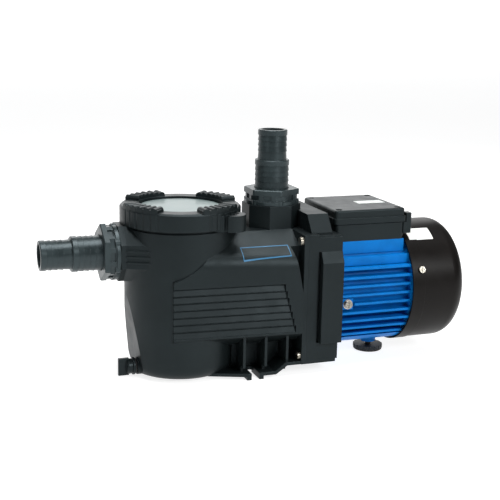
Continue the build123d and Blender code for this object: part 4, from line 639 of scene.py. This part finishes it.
def film_sheet(place, facing, size, corner):
    """A thin sheet with rounded corners at a place, its own x along the shaft."""
    start_fresh()
    bpy.ops.mesh.primitive_grid_add(x_subdivisions=28, y_subdivisions=24, size=1.0)
    sheet = bpy.context.active_object
    sheet.scale = (size[0], size[1], 1.0)
    bpy.ops.object.transform_apply(location=False, rotation=False, scale=True)
    bpy.ops.object.mode_set(mode="EDIT")
    bpy.context.tool_settings.mesh_select_mode = (True, False, False)
    reach = (size[0] / 2 - 1e-5, size[1] / 2 - 1e-5)
    pick(sheet.data, lambda co: abs(co.x) > reach[0] and abs(co.y) > reach[1])
    bpy.ops.mesh.bevel(offset=corner, segments=4, affect="VERTICES", clamp_overlap=True)
    bpy.ops.object.mode_set(mode="OBJECT")
    sheet.location = place
    sheet.rotation_euler = (facing, 0, 0)
    return sheet


def drape(sheet, node, thickness):
    """Presses a sheet onto a CAD node along the sheet's own z, and gives it a thickness."""
    wrap = sheet.modifiers.new("press", "SHRINKWRAP")
    wrap.target = frame["nodes"][node]
    wrap.wrap_method = "PROJECT"
    wrap.use_project_z = True
    wrap.use_negative_direction = True
    wrap.use_positive_direction = False
    wrap.offset = thickness * 0.3
    wall = sheet.modifiers.new("thickness", "SOLIDIFY")
    wall.thickness = thickness
    wall.offset = 1.0


class PUMP_OT_labels(bpy.types.Operator):
    """Lay the blank sticker, the blank plate and the printed outline"""

    bl_idname = "pump.labels"
    bl_label = "Labels"
    bl_options = {"REGISTER", "UNDO"}

    def execute(self, context):
        sizes = context.scene.pump_label
        white = printed_film("label film", (0.78, 0.79, 0.78), 0.42)
        silver = printed_film("plate film", (0.50, 0.54, 0.53), 0.36)
        blue = printed_film("printed line", (0.0, 0.11, 0.24), 0.45)
        low, high = (Vector(c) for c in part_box("fan_cover"))
        reach = (high.y - low.y) / 2 + LABEL_HOVER
        turn = sizes.sticker_angle
        middle = (
            low.x + STICKER_INSET + sizes.sticker_length / 2,
            reach * math.cos(turn),
            SHAFT_Z + reach * math.sin(turn),
        )
        size = (sizes.sticker_length, sizes.sticker_width)
        sticker = film_sheet(middle, turn - math.pi / 2, size, STICKER_CORNER)
        drape(sticker, "fan_cover", sizes.thickness)
        settle(sticker, "fan_cover_sticker", "housing", white)
        low, high = (Vector(c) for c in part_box("terminal_box_lid"))
        spot = (high.x - PLATE_INSET[0], low.y + PLATE_INSET[1], high.z + PLATE_HOVER)
        plate = film_sheet(spot, 0.0, (sizes.plate_length, sizes.plate_width), PLATE_CORNER)
        drape(plate, "terminal_box_lid", sizes.thickness)
        settle(plate, "terminal_lid_plate", "housing", silver)
        self.outline(sizes, blue)
        return {"FINISHED"}

    def outline(self, sizes, finish):
        """A printed rectangle on the sloping roof beside the discharge neck."""
        low, high = (Vector(c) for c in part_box("discharge_nut"))
        middle_x = (low.x + high.x) / 2
        near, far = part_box("pump_housing")
        start_fresh()
        bpy.ops.mesh.primitive_plane_add(size=1.0)
        line = bpy.context.active_object
        line.scale = (*OUTLINE_SIZE, 1.0)
        bpy.ops.object.transform_apply(location=False, rotation=False, scale=True)
        bpy.ops.object.mode_set(mode="EDIT")
        bpy.context.tool_settings.mesh_select_mode = (False, False, True)
        bpy.ops.mesh.select_all(action="SELECT")
        bpy.ops.mesh.inset(thickness=sizes.outline_line)
        bpy.ops.mesh.delete(type="FACE")
        bpy.ops.mesh.select_all(action="SELECT")
        bpy.ops.mesh.subdivide(number_cuts=24)
        bpy.ops.object.mode_set(mode="OBJECT")
        line.location = (middle_x - OUTLINE_INSET[0], near[1] + OUTLINE_INSET[1], far[2])
        drape(line, "pump_housing", sizes.thickness)
        settle(line, "roof_outline", "housing", finish)


class PUMP_OT_levelling_stud(bpy.types.Operator):
    """Cut the thread of the levelling foot's stud"""

    bl_idname = "pump.levelling_stud"
    bl_label = "Levelling stud"
    bl_options = {"REGISTER", "UNDO"}

    def execute(self, context):
        pitch = context.scene.pump_label.thread_pitch
        low, high = (Vector(c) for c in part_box("foot_stud"))
        radius = (high.x - low.x) / 2
        depth = pitch * 0.5
        start_fresh()
        bpy.ops.mesh.primitive_circle_add(
            vertices=STUD_SIDES,
            radius=radius - depth,
            fill_type="NGON",
            location=((low.x + high.x) / 2, (low.y + high.y) / 2, low.z),
        )
        stud = bpy.context.active_object
        bpy.ops.object.mode_set(mode="EDIT")
        bpy.context.tool_settings.mesh_select_mode = (False, False, True)
        bpy.ops.mesh.select_all(action="SELECT")
        turns = int((high.z - low.z) / pitch)
        step = (high.z - low.z) / (2 * turns)
        grow = radius / (radius - depth)
        for half in range(2 * turns):
            bpy.ops.mesh.extrude_region_move(TRANSFORM_OT_translate={"value": (0, 0, step)})
            factor = grow if half % 2 == 0 else 1 / grow
            bpy.ops.transform.resize(value=(factor, factor, 1.0))
        bpy.ops.mesh.select_all(action="SELECT")
        bpy.ops.mesh.normals_make_consistent(inside=False)
        bpy.ops.object.mode_set(mode="OBJECT")
        finish = frame["nodes"]["foot_stud"].data.materials[0]
        settle(stud, "levelling_stud_thread", "levelling_screw", finish)
        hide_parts("foot_stud")
        return {"FINISHED"}


# ---------------------------------------------------------------- stage
def soft_box(name, power):
    """Hangs one of the rectangular lights, aimed at its target."""
    place, target, size = SOFT_BOXES[name]
    light = bpy.data.lights.new(name, "AREA")
    light.shape = "RECTANGLE"
    light.size, light.size_y = size
    light.energy = power
    lamp = bpy.data.objects.new(name, light)
    bpy.context.scene.collection.objects.link(lamp)
    lamp.location = place
    aim = Vector(target) - Vector(place)
    lamp.rotation_euler = aim.to_track_quat("-Z", "Y").to_euler()


def plain_paper(name, roughness, glow):
    """A matt stage surface that adds some white of its own."""
    material, tree, shader, place = base_tree(
        name,
        (0.5, 0.5, 0.5),
        Roughness=roughness,
        Emission_Color=(1, 1, 1, 1),
        Emission_Strength=glow,
        Specular_IOR_Level=0.1,
    )
    return material, tree, shader, place


class PUMP_OT_stage(bpy.types.Operator):
    """Lay the floor, hang the lights and place the camera"""

    bl_idname = "pump.stage"
    bl_label = "Studio"
    bl_options = {"REGISTER", "UNDO"}

    def execute(self, context):
        settings = context.scene.pump_stage
        self.lay_floor(context, settings)
        self.fill_room(context, settings)
        power = settings.key_power
        soft_box("overhead", power)
        soft_box("front_key", power * settings.front_share)
        soft_box("left_fill", power * LEFT_FILL_SHARE)
        soft_box("back_rim", power * BACK_RIM_SHARE)
        self.place_camera(context, settings)
        return {"FINISHED"}

    def lay_floor(self, context, settings):
        """A paper floor whose far side rises into a wall."""
        start_fresh()
        bpy.ops.mesh.primitive_plane_add(size=FLOOR_SIZE, location=(0, 0, -FLOOR_DROP))
        floor = context.active_object
        floor.name = "studio_floor"
        material, tree, shader, place = plain_paper("studio floor", 0.8, settings.floor_glow)
        clouds = noise(tree, place, 0.8, 2.0)
        paper = colour_out(tint(tree, clouds, (0.44, 0.44, 0.44), (0.48, 0.48, 0.48)))
        wire(tree, paper, shader.inputs["Base Color"])
        floor.data.materials.append(material)
        bpy.ops.object.mode_set(mode="EDIT")
        bpy.context.tool_settings.mesh_select_mode = (True, False, False)
        pick(floor.data, lambda co: co.y > WALL_START)
        bpy.ops.mesh.extrude_region_move(TRANSFORM_OT_translate={"value": WALL_RISE})
        bpy.ops.object.mode_set(mode="OBJECT")
        floor.data.materials.append(plain_paper("studio wall", 0.9, settings.wall_glow)[0])
        for polygon in floor.data.polygons:
            polygon.material_index = 1 if abs(polygon.normal.z) < 0.7 else 0

    def fill_room(self, context, settings):
        """A dim cool light all round, with plain white beyond the floor."""
        world = bpy.data.worlds.new("studio")
        context.scene.world = world
        world.use_nodes = True
        tree = world.node_tree
        room = tree.nodes["Background"]
        room.inputs["Color"].default_value = (0.93, 0.97, 1.0, 1)
        room.inputs["Strength"].default_value = settings.room_light
        plain = add(tree, "ShaderNodeBackground", Color=(1, 1, 1, 1), Strength=1.0)
        rays = add(tree, "ShaderNodeLightPath")
        shown = add(tree, "ShaderNodeMixShader")
        wire(tree, rays.outputs["Is Camera Ray"], shown.inputs[0])
        wire(tree, room.outputs[0], shown.inputs[1])
        wire(tree, plain.outputs[0], shown.inputs[2])
        wire(tree, shown.outputs[0], tree.nodes["World Output"].inputs[0])

    def place_camera(self, context, settings):
        """The camera, turned by yaw, then pitch, then roll."""
        camera = bpy.data.cameras.new("studio_camera")
        camera.lens = settings.lens
        camera.sensor_width = 36.0
        camera.clip_start = 0.05
        camera.clip_end = 60.0
        eye = bpy.data.objects.new("studio_camera", camera)
        context.scene.collection.objects.link(eye)
        yaw, pitch, roll = (math.radians(a) for a in CAMERA_ANGLES)
        level = math.cos(pitch)
        forward = Vector((math.sin(yaw) * level, math.cos(yaw) * level, -math.sin(pitch)))
        right = Vector((math.cos(yaw), -math.sin(yaw), 0))
        up = right.cross(forward)
        across = right * math.cos(roll) + up * math.sin(roll)
        upright = up * math.cos(roll) - right * math.sin(roll)
        turn = Matrix((across, upright, -forward)).transposed().to_4x4()
        eye.matrix_world = Matrix.Translation(CAMERA_PLACE) @ turn
        context.scene.camera = eye
        context.scene.view_settings.view_transform = "Standard"


# ---------------------------------------------------------------- panel and start
STEPS = (PUMP_OT_finishes, PUMP_OT_labels, PUMP_OT_levelling_stud, PUMP_OT_stage)


class PUMP_PT_panel(bpy.types.Panel):
    """Buttons for the pump's finishing steps"""

    bl_idname = "PUMP_PT_panel"
    bl_label = "Pool Pump"
    bl_space_type = "VIEW_3D"
    bl_region_type = "UI"
    bl_category = "Pool Pump"

    def draw(self, context):
        scene = context.scene
        for group in (scene.pump_finish, scene.pump_label, scene.pump_stage):
            for key in group.bl_rna.properties.keys():
                if key not in ("rna_type", "name"):
                    self.layout.prop(group, key)
        for step in STEPS:
            self.layout.operator(step.bl_idname)


CLASSES = (PumpFinishSettings, PumpLabelSettings, PumpStageSettings, *STEPS, PUMP_PT_panel)


def register():
    for item in CLASSES:
        bpy.utils.register_class(item)
    scene = bpy.types.Scene
    scene.pump_finish = bpy.props.PointerProperty(type=PumpFinishSettings)
    scene.pump_label = bpy.props.PointerProperty(type=PumpLabelSettings)
    scene.pump_stage = bpy.props.PointerProperty(type=PumpStageSettings)


def unregister():
    scene = bpy.types.Scene
    del scene.pump_finish
    del scene.pump_label
    del scene.pump_stage
    for item in reversed(CLASSES):
        bpy.utils.unregister_class(item)


def main():
    register()
    bpy.ops.pump.finishes()
    bpy.ops.pump.labels()
    bpy.ops.pump.levelling_stud()
    bpy.ops.pump.stage()


if __name__ == "__main__":
    main()
